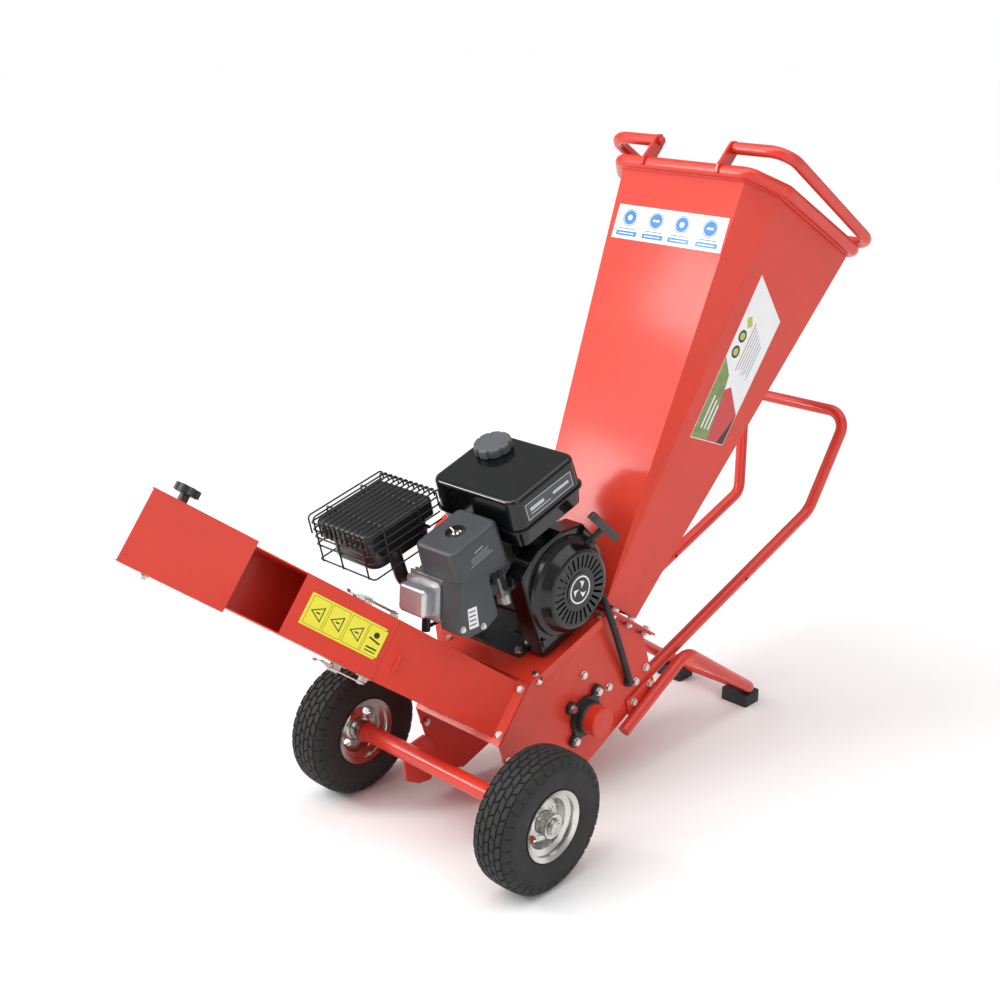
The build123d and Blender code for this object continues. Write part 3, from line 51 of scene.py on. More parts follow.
def W(x, y, z):
    return Vector((x / 1000 + SX, y / 1000 + SY, z / 1000))


def B(x, y, z):
    return W(x, 113, 307) + YP * (y / 1000) + ZP * (z / 1000)


YAW = math.radians(26)
CN = Vector((0, .62, .785)).normalized()
D0 = Vector((0, -CN.z, CN.y))
CD = D0 * math.cos(YAW) - XD * math.sin(YAW)
CO = XD * math.cos(YAW) + D0 * math.sin(YAW)


def C(s, n, t):
    return W(90, 83, 251.3) + CD * (s / 1000) + CN * (n / 1000) - CO * (t / 1000)


RA = math.radians(28.9)
RD = Vector((0, math.cos(RA), -math.sin(RA)))
RN = Vector((0, math.sin(RA), math.cos(RA)))


def R3(x, r, h):
    return W(x, 655, 1148) + RD * (r / 1000) + RN * (h / 1000)


GT = math.radians(-4.7)
GYD = YP * math.cos(GT) + ZP * math.sin(GT)
GZD = ZP * math.cos(GT) - YP * math.sin(GT)
GO = B(-158, -18, 330)


def G(x, y, h):
    return GO + XD * (x / 1000) + GYD * (y / 1000) + GZD * (h / 1000)


# --------------------------------------------------------------------------
# materials
# --------------------------------------------------------------------------
def new_mat(name):
    m = bpy.data.materials.new(name)
    m.use_nodes = True
    nt = m.node_tree
    nt.nodes.clear()
    out = nt.nodes.new("ShaderNodeOutputMaterial")
    bs = nt.nodes.new("ShaderNodeBsdfPrincipled")
    nt.links.new(bs.outputs[0], out.inputs[0])
    return m, nt, bs


def node(nt, kind, **kw):
    n = nt.nodes.new(kind)
    for k, v in kw.items():
        if k in n.inputs:
            n.inputs[k].default_value = v
        else:
            setattr(n, k, v)
    return n


def coords(nt, scale=(1, 1, 1)):
    tc = nt.nodes.new("ShaderNodeTexCoord")
    mp = nt.nodes.new("ShaderNodeMapping")
    mp.inputs["Scale"].default_value = scale
    nt.links.new(tc.outputs["Object"], mp.inputs["Vector"])
    return mp.outputs[0]


def noise(nt, vec, scale, detail=4.0, rough=0.55, dist=0.0):
    n = nt.nodes.new("ShaderNodeTexNoise")
    n.inputs["Scale"].default_value = scale
    n.inputs["Detail"].default_value = detail
    n.inputs["Roughness"].default_value = rough
    n.inputs["Distortion"].default_value = dist
    nt.links.new(vec, n.inputs["Vector"])
    return n.outputs["Fac"]


def ramp(nt, fac, stops):
    r = nt.nodes.new("ShaderNodeValToRGB")
    el = r.color_ramp.elements
    while len(el) > 1:
        el.remove(el[-1])
    el[0].position, el[0].color = stops[0][0], stops[0][1]
    for p, c in stops[1:]:
        e = el.new(p)
        e.color = c
    nt.links.new(fac, r.inputs[0])
    return r.outputs[0]


def grey(v):
    return (v, v, v, 1)


def mixc(nt, fac, a, b, mode="MIX"):
    m = nt.nodes.new("ShaderNodeMix")
    m.data_type = "RGBA"
    m.blend_type = mode
    for sock, v in ((m.inputs[0], fac), (m.inputs[6], a), (m.inputs[7], b)):
        if hasattr(v, "is_output") or isinstance(v, bpy.types.NodeSocket):
            nt.links.new(v, sock)
        else:
            sock.default_value = v
    return m.outputs[2]


def bump(nt, height, strength, dist, normal=None):
    b = nt.nodes.new("ShaderNodeBump")
    b.inputs["Strength"].default_value = strength
    b.inputs["Distance"].default_value = dist
    nt.links.new(height, b.inputs["Height"])
    if normal is not None:
        nt.links.new(normal, b.inputs["Normal"])
    return b.outputs[0]


def edge_mask(nt, lo=0.52, hi=0.60):
    g = nt.nodes.new("ShaderNodeNewGeometry")
    return ramp(nt, g.outputs["Pointiness"], [(lo, grey(0)), (hi, grey(1))])


def rgba(c):
    return (c[0], c[1], c[2], 1)


def finish_mat(name, base, rough, metallic=0.0, coat=0.0, coat_rough=0.08, spec=0.5,
               var=0.12, var_scale=9.0, rough_var=0.08, grain_scale=420.0, grain=0.15, grain_dist=0.0004,
               peel=0.0, peel_scale=160.0, dirt=0.0, dirt_col=(0.16, 0.13, 0.10), worn=0.0, worn_col=(0.4, 0.4, 0.4),
               round_edge=0.0, stretch=(1, 1, 1)):
    """A painted, cast, moulded or plated surface: colour drift, roughness drift, fine grain and dust in random patches.
    """
    m, nt, bs = new_mat(name)
    v = coords(nt)
    vs = coords(nt, stretch)
    f1 = noise(nt, v, var_scale, 5)
    f2 = noise(nt, v, var_scale * 7, 3)
    dark = tuple(c * (1 - var) for c in base)
    light = tuple(min(1, c * (1 + var)) for c in base)
    col = ramp(nt, f1, [(0.3, rgba(dark)), (0.7, rgba(light))])
    col = mixc(nt, 0.25, col, ramp(nt, f2, [(0.35, rgba(dark)), (0.65, rgba(light))]))
    if dirt > 0:
        d = noise(nt, v, 23.0, 6, 0.7)
        dm = ramp(nt, d, [(0.50, grey(0)), (0.78, grey(dirt))])
        col = mixc(nt, dm, col, rgba(dirt_col))
    if worn > 0:
        e = edge_mask(nt)
        wn = noise(nt, v, 60.0, 4)
        wm = nt.nodes.new("ShaderNodeMath")
        wm.operation = "MULTIPLY"
        nt.links.new(e, wm.inputs[0])
        nt.links.new(ramp(nt, wn, [(0.45, grey(0)), (0.6, grey(worn))]), wm.inputs[1])
        col = mixc(nt, wm.outputs[0], col, rgba(worn_col))
    nt.links.new(col, bs.inputs["Base Color"])
    rf = noise(nt, v, 31.0, 5, 0.6)
    rr = nt.nodes.new("ShaderNodeMapRange")
    rr.inputs["To Min"].default_value = max(0.02, rough - rough_var)
    rr.inputs["To Max"].default_value = min(1.0, rough + rough_var)
    nt.links.new(rf, rr.inputs["Value"])
    nt.links.new(rr.outputs[0], bs.inputs["Roughness"])
    bs.inputs["Metallic"].default_value = metallic
    bs.inputs["Coat Weight"].default_value = coat
    bs.inputs["Coat Roughness"].default_value = coat_rough
    bs.inputs["Specular IOR Level"].default_value = spec
    nrm = None
    if round_edge > 0:
        bv = nt.nodes.new("ShaderNodeBevel")
        bv.samples = 4
        bv.inputs["Radius"].default_value = round_edge
        nrm = bv.outputs[0]
    if peel > 0:
        nrm = bump(nt, noise(nt, v, peel_scale, 2, 0.4), peel, 0.0006, nrm)
    if grain > 0:
        nrm = bump(nt, noise(nt, vs, grain_scale, 3, 0.5), grain, grain_dist, nrm)
    if nrm is not None:
        nt.links.new(nrm, bs.inputs["Normal"])
        if coat > 0 and (peel > 0 or round_edge > 0):
            nt.links.new(nrm, bs.inputs["Coat Normal"])
    return m


RED = (0.63, 0.034, 0.014)
M = {}
M["paint"] = finish_mat("red_powder_coat", RED, 0.42, coat=0.22, coat_rough=0.12, spec=0.35, var=0.07, var_scale=6, rough_var=0.06,
                        grain=0.05, grain_scale=900, peel=0.10, peel_scale=190, dirt=0.05, round_edge=0.0008)
M["tube_paint"] = finish_mat("red_tube_paint", (0.64, 0.036, 0.020), 0.36, coat=0.35, coat_rough=0.10, spec=0.4, var=0.08, var_scale=14, rough_var=0.07,
                             grain=0.05, grain_scale=900, peel=0.12, peel_scale=240, dirt=0.06)
M["black_gloss"] = finish_mat("black_gloss_paint", (0.0035, 0.0038, 0.0042), 0.13, coat=0.15, coat_rough=0.04, spec=0.38, var=0.25, rough_var=0.05,
                              grain=0.03, peel=0.06, peel_scale=150, dirt=0.04, dirt_col=(0.10, 0.10, 0.10), round_edge=0.0006)
M["cover_plastic"] = finish_mat("black_cover", (0.0040, 0.0042, 0.0048), 0.20, coat=0.15, coat_rough=0.06, spec=0.40, var=0.2, rough_var=0.07,
                                grain=0.08, grain_scale=700, dirt=0.05, dirt_col=(0.12, 0.12, 0.12), round_edge=0.0006)
M["black_plastic"] = finish_mat("black_moulded_plastic", (0.022, 0.022, 0.024), 0.45, var=0.2, rough_var=0.10, grain=0.25, grain_scale=900,
                                dirt=0.08, dirt_col=(0.13, 0.12, 0.11), round_edge=0.0005)
M["cap_plastic"] = finish_mat("fuel_cap_plastic", (0.085, 0.088, 0.095), 0.5, var=0.15, rough_var=0.10, grain=0.3, grain_scale=900,
                              dirt=0.06, round_edge=0.0006)
M["grey_plastic"] = finish_mat("dark_grey_moulding", (0.042, 0.046, 0.052), 0.42, var=0.12, rough_var=0.08, grain=0.30, grain_scale=1100,
                               grain_dist=0.0003, dirt=0.05, dirt_col=(0.16, 0.15, 0.14), round_edge=0.0010)
M["cast_alu"] = finish_mat("cast_aluminium", (0.50, 0.50, 0.49), 0.42, metallic=0.85, var=0.15, var_scale=20, rough_var=0.12, grain=0.55,
                           grain_scale=500, grain_dist=0.0005, dirt=0.25, dirt_col=(0.12, 0.11, 0.10), round_edge=0.0008)
M["silver_paint"] = finish_mat("silver_valve_cover", (0.55, 0.55, 0.56), 0.32, metallic=0.75, coat=0.2, var=0.08, var_scale=20, rough_var=0.08,
                               grain=0.2, grain_scale=700, dirt=0.10, dirt_col=(0.15, 0.13, 0.12), round_edge=0.0010)
M["steel"] = finish_mat("turned_steel", (0.52, 0.51, 0.50), 0.28, metallic=1.0, var=0.1, var_scale=40, rough_var=0.12, grain=0.2,
                        grain_scale=300, stretch=(14, 1, 1), dirt=0.10, dirt_col=(0.10, 0.08, 0.06))
M["rim_zinc"] = finish_mat("bright_zinc_rim", (0.62, 0.62, 0.60), 0.20, metallic=1.0, var=0.12, var_scale=26, rough_var=0.10, grain=0.10,
                           grain_scale=350, peel=0.10, peel_scale=60, dirt=0.10, dirt_col=(0.18, 0.16, 0.13))
M["zinc"] = finish_mat("zinc_plate", (0.66, 0.65, 0.62), 0.27, metallic=1.0, var=0.14, var_scale=60, rough_var=0.12, grain=0.2,
                       grain_scale=600, dirt=0.10, dirt_col=(0.22, 0.18, 0.12), round_edge=0.0004)
M["tool_steel"] = finish_mat("ground_tool_steel", (0.45, 0.45, 0.47), 0.25, metallic=1.0, var=0.1, var_scale=30, rough_var=0.1, grain=0.3,
                             grain_scale=500, stretch=(1, 12, 1), dirt=0.1)
M["iron"] = finish_mat("black_cast_iron", (0.030, 0.030, 0.033), 0.45, metallic=0.3, var=0.2, var_scale=30, rough_var=0.12, grain=0.5,
                       grain_scale=420, grain_dist=0.0006, dirt=0.12, dirt_col=(0.12, 0.09, 0.07), round_edge=0.0008)
M["rubber"] = finish_mat("black_rubber", (0.018, 0.018, 0.019), 0.62, var=0.25, rough_var=0.10, grain=0.35, grain_scale=800, dirt=0.18,
                         dirt_col=(0.11, 0.10, 0.09), round_edge=0.001)
M["tyre"] = finish_mat("tyre_rubber", (0.022, 0.022, 0.022), 0.66, spec=0.3, var=0.18, var_scale=14, rough_var=0.12, grain=0.35, grain_scale=900, dirt=0.16,
                       dirt_col=(0.10, 0.085, 0.07))
M["wire"] = finish_mat("black_wire", (0.018, 0.018, 0.018), 0.30, metallic=0.4, coat=0.3, var=0.2, rough_var=0.1, grain=0.15, grain_scale=900)
M["hot_black"] = finish_mat("heatproof_black", (0.020, 0.020, 0.021), 0.38, metallic=0.2, coat=0.25, var=0.25, rough_var=0.12, grain=0.3,
                            grain_scale=500, dirt=0.10, dirt_col=(0.12, 0.11, 0.10), round_edge=0.0008)
M["conduit"] = finish_mat("conduit_plastic", (0.016, 0.016, 0.017), 0.42, var=0.2, rough_var=0.1, grain=0.15, grain_scale=900, dirt=0.08)
M["yellow"] = finish_mat("yellow_label", (0.78, 0.70, 0.03), 0.35, coat=0.3, var=0.04, rough_var=0.05, grain=0.04, dirt=0.05)
M["label_black"] = finish_mat("label_black", (0.012, 0.012, 0.012), 0.40, var=0.2, rough_var=0.05, grain=0.04)
M["label_white"] = finish_mat("label_white", (0.80, 0.81, 0.82), 0.35, coat=0.3, var=0.03, rough_var=0.05, grain=0.04, dirt=0.04)
M["label_blue"] = finish_mat("label_blue", (0.015, 0.19, 0.56), 0.35, coat=0.3, var=0.08, rough_var=0.05, grain=0.04)
M["label_green"] = finish_mat("label_green", (0.16, 0.24, 0.05), 0.38, coat=0.3, var=0.35, var_scale=60, rough_var=0.05, grain=0.04)
M["label_silver"] = finish_mat("label_silver", (0.50, 0.51, 0.53), 0.30, metallic=0.7, var=0.06, rough_var=0.06, grain=0.05)
M["label_red"] = finish_mat("label_red", (0.55, 0.015, 0.02), 0.36, coat=0.3, var=0.08, var_scale=60, rough_var=0.05, grain=0.04)
M["label_grey"] = finish_mat("label_grey", (0.30, 0.31, 0.33), 0.4, var=0.08, var_scale=60, rough_var=0.05, grain=0.04)
M["label_dark"] = finish_mat("label_dark", (0.045, 0.048, 0.052), 0.36, coat=0.2, var=0.1, var_scale=60, rough_var=0.05, grain=0.06)
M["label_lime"] = finish_mat("label_lime", (0.42, 0.50, 0.06), 0.36, coat=0.3, var=0.10, var_scale=60, rough_var=0.05, grain=0.04)
M["engine_black"] = finish_mat("black_engine_paint", (0.018, 0.018, 0.020), 0.40, metallic=0.1, coat=0.15, var=0.25, var_scale=20, rough_var=0.12, grain=0.5,
                               grain_scale=420, grain_dist=0.0006, dirt=0.10, dirt_col=(0.14, 0.12, 0.10), round_edge=0.0010)
M["dark_inside"] = finish_mat("unlit_inside", (0.006, 0.006, 0.006), 0.7, var=0.2, grain=0.1)

assign = {
    "paint": "side_plate_right side_plate_left engine_tray rotor_housing chute_base chute_upper chute_deflector hopper_shell hopper_flange belt_guard bearing_cap",
    "tube_paint": "hopper_rim_tube hopper_stop_bar handle_frame rear_stand axle_tube",
    "zinc": "deflector_pivot latch_plates latch_lever_top latch_lever_bottom latch_bail_top latch_bail_bottom frame_bolts wing_nut",
    "steel": "hub_bearings rotor_shaft crankshaft axle_shaft",
    "rim_zinc": "rim_right rim_left",
    "tool_steel": "rotor_blades counter_blade",
    "iron": "rotor_drum rotor_bearings driven_pulley drive_pulley",
    "rubber": "stand_feet belts",
    "conduit": "conduit",
    "tyre": "tyre_right tyre_left",
    "cast_alu": "cylinder_head carburettor",
    "engine_black": "crankcase",
    "silver_paint": "valve_cover",
    "cover_plastic": "recoil_cover",
    "black_gloss": "fuel_tank fan_cover",
    "hot_black": "muffler",
    "wire": "muffler_guard",
    "cap_plastic": "fuel_cap",
    "black_plastic": "deflector_knob recoil_handle choke_lever stop_switch spark_plug oil_dipstick",
    "grey_plastic": "air_cleaner_base air_cleaner_cover",
}
for k, names in assign.items():
    for n in names.split():
        o = N[n]
        o.data.materials.clear()
        o.data.materials.append(M[k])


# --------------------------------------------------------------------------
# mesh helpers
# --------------------------------------------------------------------------
def obj_from(name, verts, faces, mat, body="chassis", smooth=False, autosmooth=None):
    me = bpy.data.meshes.new(name)
    me.from_pydata([tuple(v) for v in verts], [], faces)
    me.update()
    bm = bmesh.new()
    bm.from_mesh(me)
    bmesh.ops.recalc_face_normals(bm, faces=bm.faces)
    bm.to_mesh(me)
    bm.free()
    o = bpy.data.objects.new(name, me)
    bpy.context.scene.collection.objects.link(o)
    me.materials.append(mat)
    if smooth:
        for p in me.polygons:
            p.use_smooth = True
    if autosmooth is not None:
        me.set_sharp_from_angle(angle=math.radians(autosmooth))
    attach(o, body)
    return o


def panel(name, origin, ux, uy, un, outline, t, mat, body="chassis", lift=0.0002):
    """A thin plate with the given outline (mm in ux, uy) standing t mm proud of a face."""
    vs, n = [], len(outline)
    for h in (lift, lift + t / 1000):
        for (x, y) in outline:
            vs.append(origin + ux * (x / 1000) + uy * (y / 1000) + un * h)
    fs = [list(range(n))[::-1], list(range(n, 2 * n))]
    fs += [[i, (i + 1) % n, n + (i + 1) % n, n + i] for i in range(n)]
    return obj_from(name, vs, fs, mat, body)


def circle(cx, cy, r, n=28, a0=0.0):
    return [(cx + r * math.cos(a0 + 2 * math.pi * i / n), cy + r * math.sin(a0 + 2 * math.pi * i / n)) for i in range(n)]


def ring(name, origin, ux, uy, un, r0, r1, t, mat, body="chassis", lift=0.0002, n=48):
    vs, fs = [], []
    for h in (lift, lift + t / 1000):
        for r in (r0, r1):
            for i in range(n):
                a = 2 * math.pi * i / n
                vs.append(origin + ux * (r * math.cos(a) / 1000) + uy * (r * math.sin(a) / 1000) + un * h)
    for i in range(n):
        j = (i + 1) % n
        fs += [[i, j, n + j, n + i], [2 * n + i, 3 * n + i, 3 * n + j, 2 * n + j],
               [i, 2 * n + i, 2 * n + j, j], [n + i, n + j, 3 * n + j, 3 * n + i]]
    return obj_from(name, vs, fs, mat, body)


def tube_mesh(name, pts, r, mat, body="chassis", seg=10, closed=False, rads=None, join=None):
    """Round wire through pts, as one closed mesh."""
    n = len(pts)
    vs, fs = [], []
    prev = None
    for i, p in enumerate(pts):
        a = pts[(i - 1) % n] if (closed or i > 0) else p
        c = pts[(i + 1) % n] if (closed or i < n - 1) else p
        t = (c - a).normalized()
        if prev is None:
            ref = Vector((0, 0, 1)) if abs(t.z) < 0.9 else Vector((1, 0, 0))
            u = t.cross(ref).normalized()
        else:
            u = (prev - t * prev.dot(t)).normalized()
        prev = u
        w = t.cross(u)
        rr = rads[i] if rads else r
        for k in range(seg):
            an = 2 * math.pi * k / seg
            vs.append(p + u * (rr * math.cos(an)) + w * (rr * math.sin(an)))
    rng = range(n) if closed else range(n - 1)
    for i in rng:
        j = (i + 1) % n
        for k in range(seg):
            q = (k + 1) % seg
            fs.append([i * seg + k, i * seg + q, j * seg + q, j * seg + k])
    if not closed:
        fs.append(list(range(seg))[::-1])
        fs.append([(n - 1) * seg + k for k in range(seg)])
    if join is not None:
        off = len(join[0])
        join[0].extend(vs)
        join[1].extend([[f + off for f in q] for q in fs])
        return None
    return obj_from(name, vs, fs, mat, body, smooth=True, autosmooth=50)


def bend(points, r, n=6):
    """Polyline with its corners turned into arcs of radius r (metres)."""
    out = [points[0]]
    for i in range(1, len(points) - 1):
        a, p, c = points[i - 1], points[i], points[i + 1]
        u, v = (a - p), (c - p)
        lu, lv = u.length, v.length
        u.normalize(); v.normalize()
        half = u.angle(v) / 2
        d = min(r / math.tan(half), lu * 0.49, lv * 0.49)
        rr = d * math.tan(half)
        cen = p + (u + v).normalized() * (rr / math.sin(half))
        s, e = p + u * d - cen, p + v * d - cen
        ang = s.angle(e)
        for k in range(n + 1):
            f = k / n
            w = (s * math.sin((1 - f) * ang) + e * math.sin(f * ang)) / math.sin(ang)
            out.append(cen + w)
    out.append(points[-1])
    return out


def weld(name, a, b, r=0.0021, body="chassis", mat=None, flat=None):
    """A bead of weld from a to b: overlapping ripples along the joint."""
    L = (b - a).length
    n = max(6, int(L / 0.0016))
    pts, rads = [], []
    rng = random.Random(hash(name) & 0xffff if False else len(name) * 131 + int(L * 10000))
    for i in range(n + 1):
        f = i / n
        pts.append(a.lerp(b, f))
        rads.append(r * (0.86 + 0.14 * abs(math.sin(i * 1.25)) + rng.uniform(-0.05, 0.05)))
    return tube_mesh(name, pts, r, mat or M["paint"], body, seg=8, rads=rads)


# --------------------------------------------------------------------------
# tyres with a block tread
# --------------------------------------------------------------------------
def smooth01(x):
    x = max(0.0, min(1.0, x))
    return x * x * (3 - 2 * x)


OUT = [(-31.0, 60.0), (-34.0, 66.8), (-36.2, 69.5), (-38.2, 76), (-39.6, 86), (-40.3, 98), (-40.4, 106), (-39.9, 111), (-38.6, 117), (-36.4, 122), (-33.2, 125.8),
       (-28.5, 127.9), (-20, 129.3), (-10, 129.85), (0, 130.0)]


def profile():
    pts = OUT + [(-x, r) for x, r in OUT[-2::-1]]
    dense = []
    for i in range(len(pts) - 1):
        (x0, r0), (x1, r1) = pts[i], pts[i + 1]
        L = math.hypot(x1 - x0, r1 - r0)
        k = max(1, int(L / (1.05 if r0 > 108 else 3.2)))
        for q in range(k):
            dense.append((x0 + (x1 - x0) * q / k, r0 + (r1 - r0) * q / k))
    dense.append(pts[-1])
    return dense


PITCHES = 34


def tread(x, r, a):
    """How far the surface lies below the tyre's outer envelope, in mm."""
    if r < 110:
        return 0.0
    v = a / (2 * math.pi) * PITCHES
    if abs(x) > 30.5:
        v += 0.25
        fv = v - math.floor(v)
        g = min(fv, 1 - fv) / PITCHES * 2 * math.pi * 124
        e = smooth01((g - 1.1) / 1.1)
        e = min(e, smooth01((abs(x) - 31.4) / 1.0) if r > 120 else 1.0)
        return 3.4 * (1 - e) * smooth01((r - 110) / 3)
    rows = 5.0
    u = (x / 30.5 + 1) * rows / 2
    row = min(4, max(0, math.floor(u)))
    fu = u - row
    par = int(row) % 2
    skew = (fu - 0.5) * (0.34 if par else -0.34)
    v += 0.5 * par + skew
    fv = v - math.floor(v)
    gu = min(fu, 1 - fu) / rows * 61
    gv = min(fv, 1 - fv) / PITCHES * 2 * math.pi * 128
    return 3.6 * (1 - min(smooth01((gu - 0.75) / 0.9), smooth01((gv - 1.15) / 1.1)))


def tyre(side):
    cx = side * 243.4
    NA = 816
    prof = profile()
    m = len(prof)
    cen = W(cx, 0, 130)
    vs, fs = [], []
    cs = [(math.cos(2 * math.pi * i / NA), math.sin(2 * math.pi * i / NA)) for i in range(NA)]
    for i in range(NA):
        a = 2 * math.pi * i / NA
        c, s = cs[i]
        for (x, r) in prof:
            d = tread(x * side, r, a)
            rr = r - d * (0.9 if r > 118 else 0.5)
            xx = x - (0.6 * d if r <= 118 else 0) * (1 if x > 0 else -1)
            if 103.5 < r < 111.4:
                xx -= 0.9 * (1 if x > 0 else -1) * smooth01(abs(r - 107.6) / 1.6 - 0.2) * (1 - smooth01((abs(r - 107.6) - 2.6) / 1.4))
            if 68 < r < 106:
                xx -= 0.35 * (1 if x > 0 else -1) * (1 + math.cos((r - 87) / 19 * math.pi)) * 0.5
            vs.append(cen + Vector((xx, rr * s, rr * c)) * 0.001)
    inner = [(31.0, 60.0), (24.0, 60.0), (26, 72), (28, 100), (22, 116), (0, 118), (-22, 116), (-28, 100), (-26, 72), (-24.0, 60.0)]
    k = len(inner)
    base = len(vs)
    for i in range(NA):
        c, s = cs[i]
        for (x, r) in inner[1:]:
            vs.append(cen + Vector((x, r * s, r * c)) * 0.001)
    ki = k - 1
    for i in range(NA):
        j = (i + 1) % NA
        for q in range(m - 1):
            fs.append([i * m + q, i * m + q + 1, j * m + q + 1, j * m + q])
        fs.append([i * m + m - 1, base + i * ki, base + j * ki, j * m + m - 1])
        for q in range(ki - 1):
            fs.append([base + i * ki + q, base + i * ki + q + 1, base + j * ki + q + 1, base + j * ki + q])
        fs.append([base + i * ki + ki - 1, i * m, j * m, base + j * ki + ki - 1])
    nm = "tyre_mesh_" + ("right" if side > 0 else "left")
    body = "wheel_right" if side > 0 else "wheel_left"
    o = obj_from(nm, vs, fs, M["tyre"], body, smooth=True, autosmooth=32)
    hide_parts("tyre_right" if side > 0 else "tyre_left")
    return o


tyre(1)
tyre(-1)

# --------------------------------------------------------------------------
# wire cage over the muffler
# --------------------------------------------------------------------------
cage = ([], [])
GW, GL, GH = 76.0, 92.0, 92.0
WR = 0.0017
nl = 12
for k in range(nl):
    x = -GW + 2 * GW * k / (nl - 1)
    ds = 36 if k not in (1, 5, 10) else GH
    tube_mesh("", bend([G(x, GL, -18), G(x, GL, 0), G(x, -GL, 0), G(x, -GL, -ds)], 0.007), WR, None, join=cage)
for y in (-GL * 0.52, GL * 0.40, GL * 0.93):
    tube_mesh("", bend([G(-GW, y, -GH if y < 60 else -30), G(-GW, y, -2.4), G(GW, y, -2.4), G(GW, y, -GH if y < 60 else -30)], 0.006), WR, None, join=cage)
for h in (-14, -29, -44, -60, -GH):
    tube_mesh("", bend([G(-GW + 1, GL - 6, h), G(-GW + 1, -GL + 2.4, h), G(GW - 1, -GL + 2.4, h), G(GW - 1, GL - 6, h)], 0.006), WR, None, join=cage)
for sx in (-1, 1):
    for sy in (-1, 1):
        tube_mesh("", [G(sx * (GW - 0.2), sy * 0.6 * GL, -60), G(sx * 61.4, sy * 0.6 * GL, -60)], 0.0028, None, seg=12, join=cage)
wire_cage = obj_from("muffler_wire_cage", cage[0], cage[1], M["wire"], "chassis", smooth=True, autosmooth=50)
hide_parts("muffler_guard")

# --------------------------------------------------------------------------
# corrugated conduit
# --------------------------------------------------------------------------
CDT = [B(108, 230, 35), B(128.6, 216.5, 14), B(128.6, 224, -60), B(118.5, 240, -184)]


def spline_points(points, res=40):
    cu = bpy.data.curves.new("route", "CURVE")
    cu.dimensions = "3D"
    sp = cu.splines.new("NURBS")
    sp.points.add(len(points) - 1)
    for q, p in zip(sp.points, points):
        q.co = (p.x, p.y, p.z, 1)
    sp.order_u = 3
    sp.use_endpoint_u = True
    sp.resolution_u = res
    ob = bpy.data.objects.new("route", cu)
    me = bpy.data.meshes.new_from_object(ob)
    out = [v.co.copy() for v in me.vertices]
    bpy.data.objects.remove(ob)
    bpy.data.curves.remove(cu)
    bpy.data.meshes.remove(me)
    return out


q0, q1, q2, q3 = CDT
path = spline_points([q0, q0.lerp(q1, 0.3), q1, q1 + (q2 - q1).normalized() * 0.024, q2 - (q2 - q1).normalized() * 0.02, q2,
                      q2 + (q3 - q2).normalized() * 0.02, q3])
dens = []
for i in range(len(path) - 1):
    L = (path[i + 1] - path[i]).length
    k = max(1, int(L / 0.0006))
    for q in range(k):
        dens.append(path[i].lerp(path[i + 1], q / k))
dens.append(path[-1])
rads, run = [], 0.0
for i, p in enumerate(dens):
    if i:
        run += (p - dens[i - 1]).length
    ph = (run / 0.0036) % 1.0
    rads.append(0.0058 + 0.00115 * smooth01((0.5 - abs(ph - 0.5)) / 0.22))
cond = ([], [])
tube_mesh("", dens, 0.0066, None, seg=20, rads=rads, join=cond)
gl = B(110.2, 240.5, -188)
tube_mesh("", [gl, gl + XD * 0.004, gl + XD * 0.0045, gl + XD * 0.010, gl + XD * 0.0118], 0.011, None, seg=24,
          rads=[0.011, 0.011, 0.0095, 0.0095, 0.008], join=cond)
cnd = obj_from("conduit_ribbed", cond[0], cond[1], M["conduit"], "chassis", smooth=True, autosmooth=60)
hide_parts("conduit")


def notched_cap():
    rows = [(-13.6, 343.4, 0), (-13.6, 336.1, 0), (-4.0, 336.1, 0), (-1.5, 336.1, 1), (-0.3, 336.9, 1), (-0.1, 338.5, 1), (-0.1, 349.5, 1), (-0.6, 351.2, 1), (-2.0, 352.9, 0.9), (-4.6, 353.9, 0.5),
            (-6.5, 354.1, 0.1), (-10.0, 354.1, 0), (-10.6, 353.5, 0), (-12.0, 353.5, 0), (-12.6, 354.1, 0), (-22.0, 354.25, 0), (-35.0, 354.3, 0)]
    NA = 360
    vs, fs = [], []
    for (dr, z, w) in rows:
        for i in range(NA):
            a = 2 * math.pi * i / NA
            ph = (a / (2 * math.pi) * 9) % 1.0
            notch = 1 - smooth01((abs(ph - 0.5) * 40 - 4.2) / 2.2)
            r = 36.0 + dr - 2.9 * notch * w
            vs.append(B(-57 + r * math.cos(a), 203 + r * math.sin(a), z))
    for q in range(len(rows) - 1):
        for i in range(NA):
            j = (i + 1) % NA
            fs.append([q * NA + i, q * NA + j, (q + 1) * NA + j, (q + 1) * NA + i])
    fs.append(list(range(NA))[::-1])
    fs.append([(len(rows) - 1) * NA + i for i in range(NA)])
    o = obj_from("fuel_cap_notched", vs, fs, M["cap_plastic"], "tank_cap", smooth=True, autosmooth=32)
    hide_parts("fuel_cap")
    return o


notched_cap()

# --------------------------------------------------------------------------
# labels, all generic
# --------------------------------------------------------------------------
def quadp(cx, cy, w, h):
    return [(cx - w / 2, cy - h / 2), (cx + w / 2, cy - h / 2), (cx + w / 2, cy + h / 2), (cx - w / 2, cy + h / 2)]


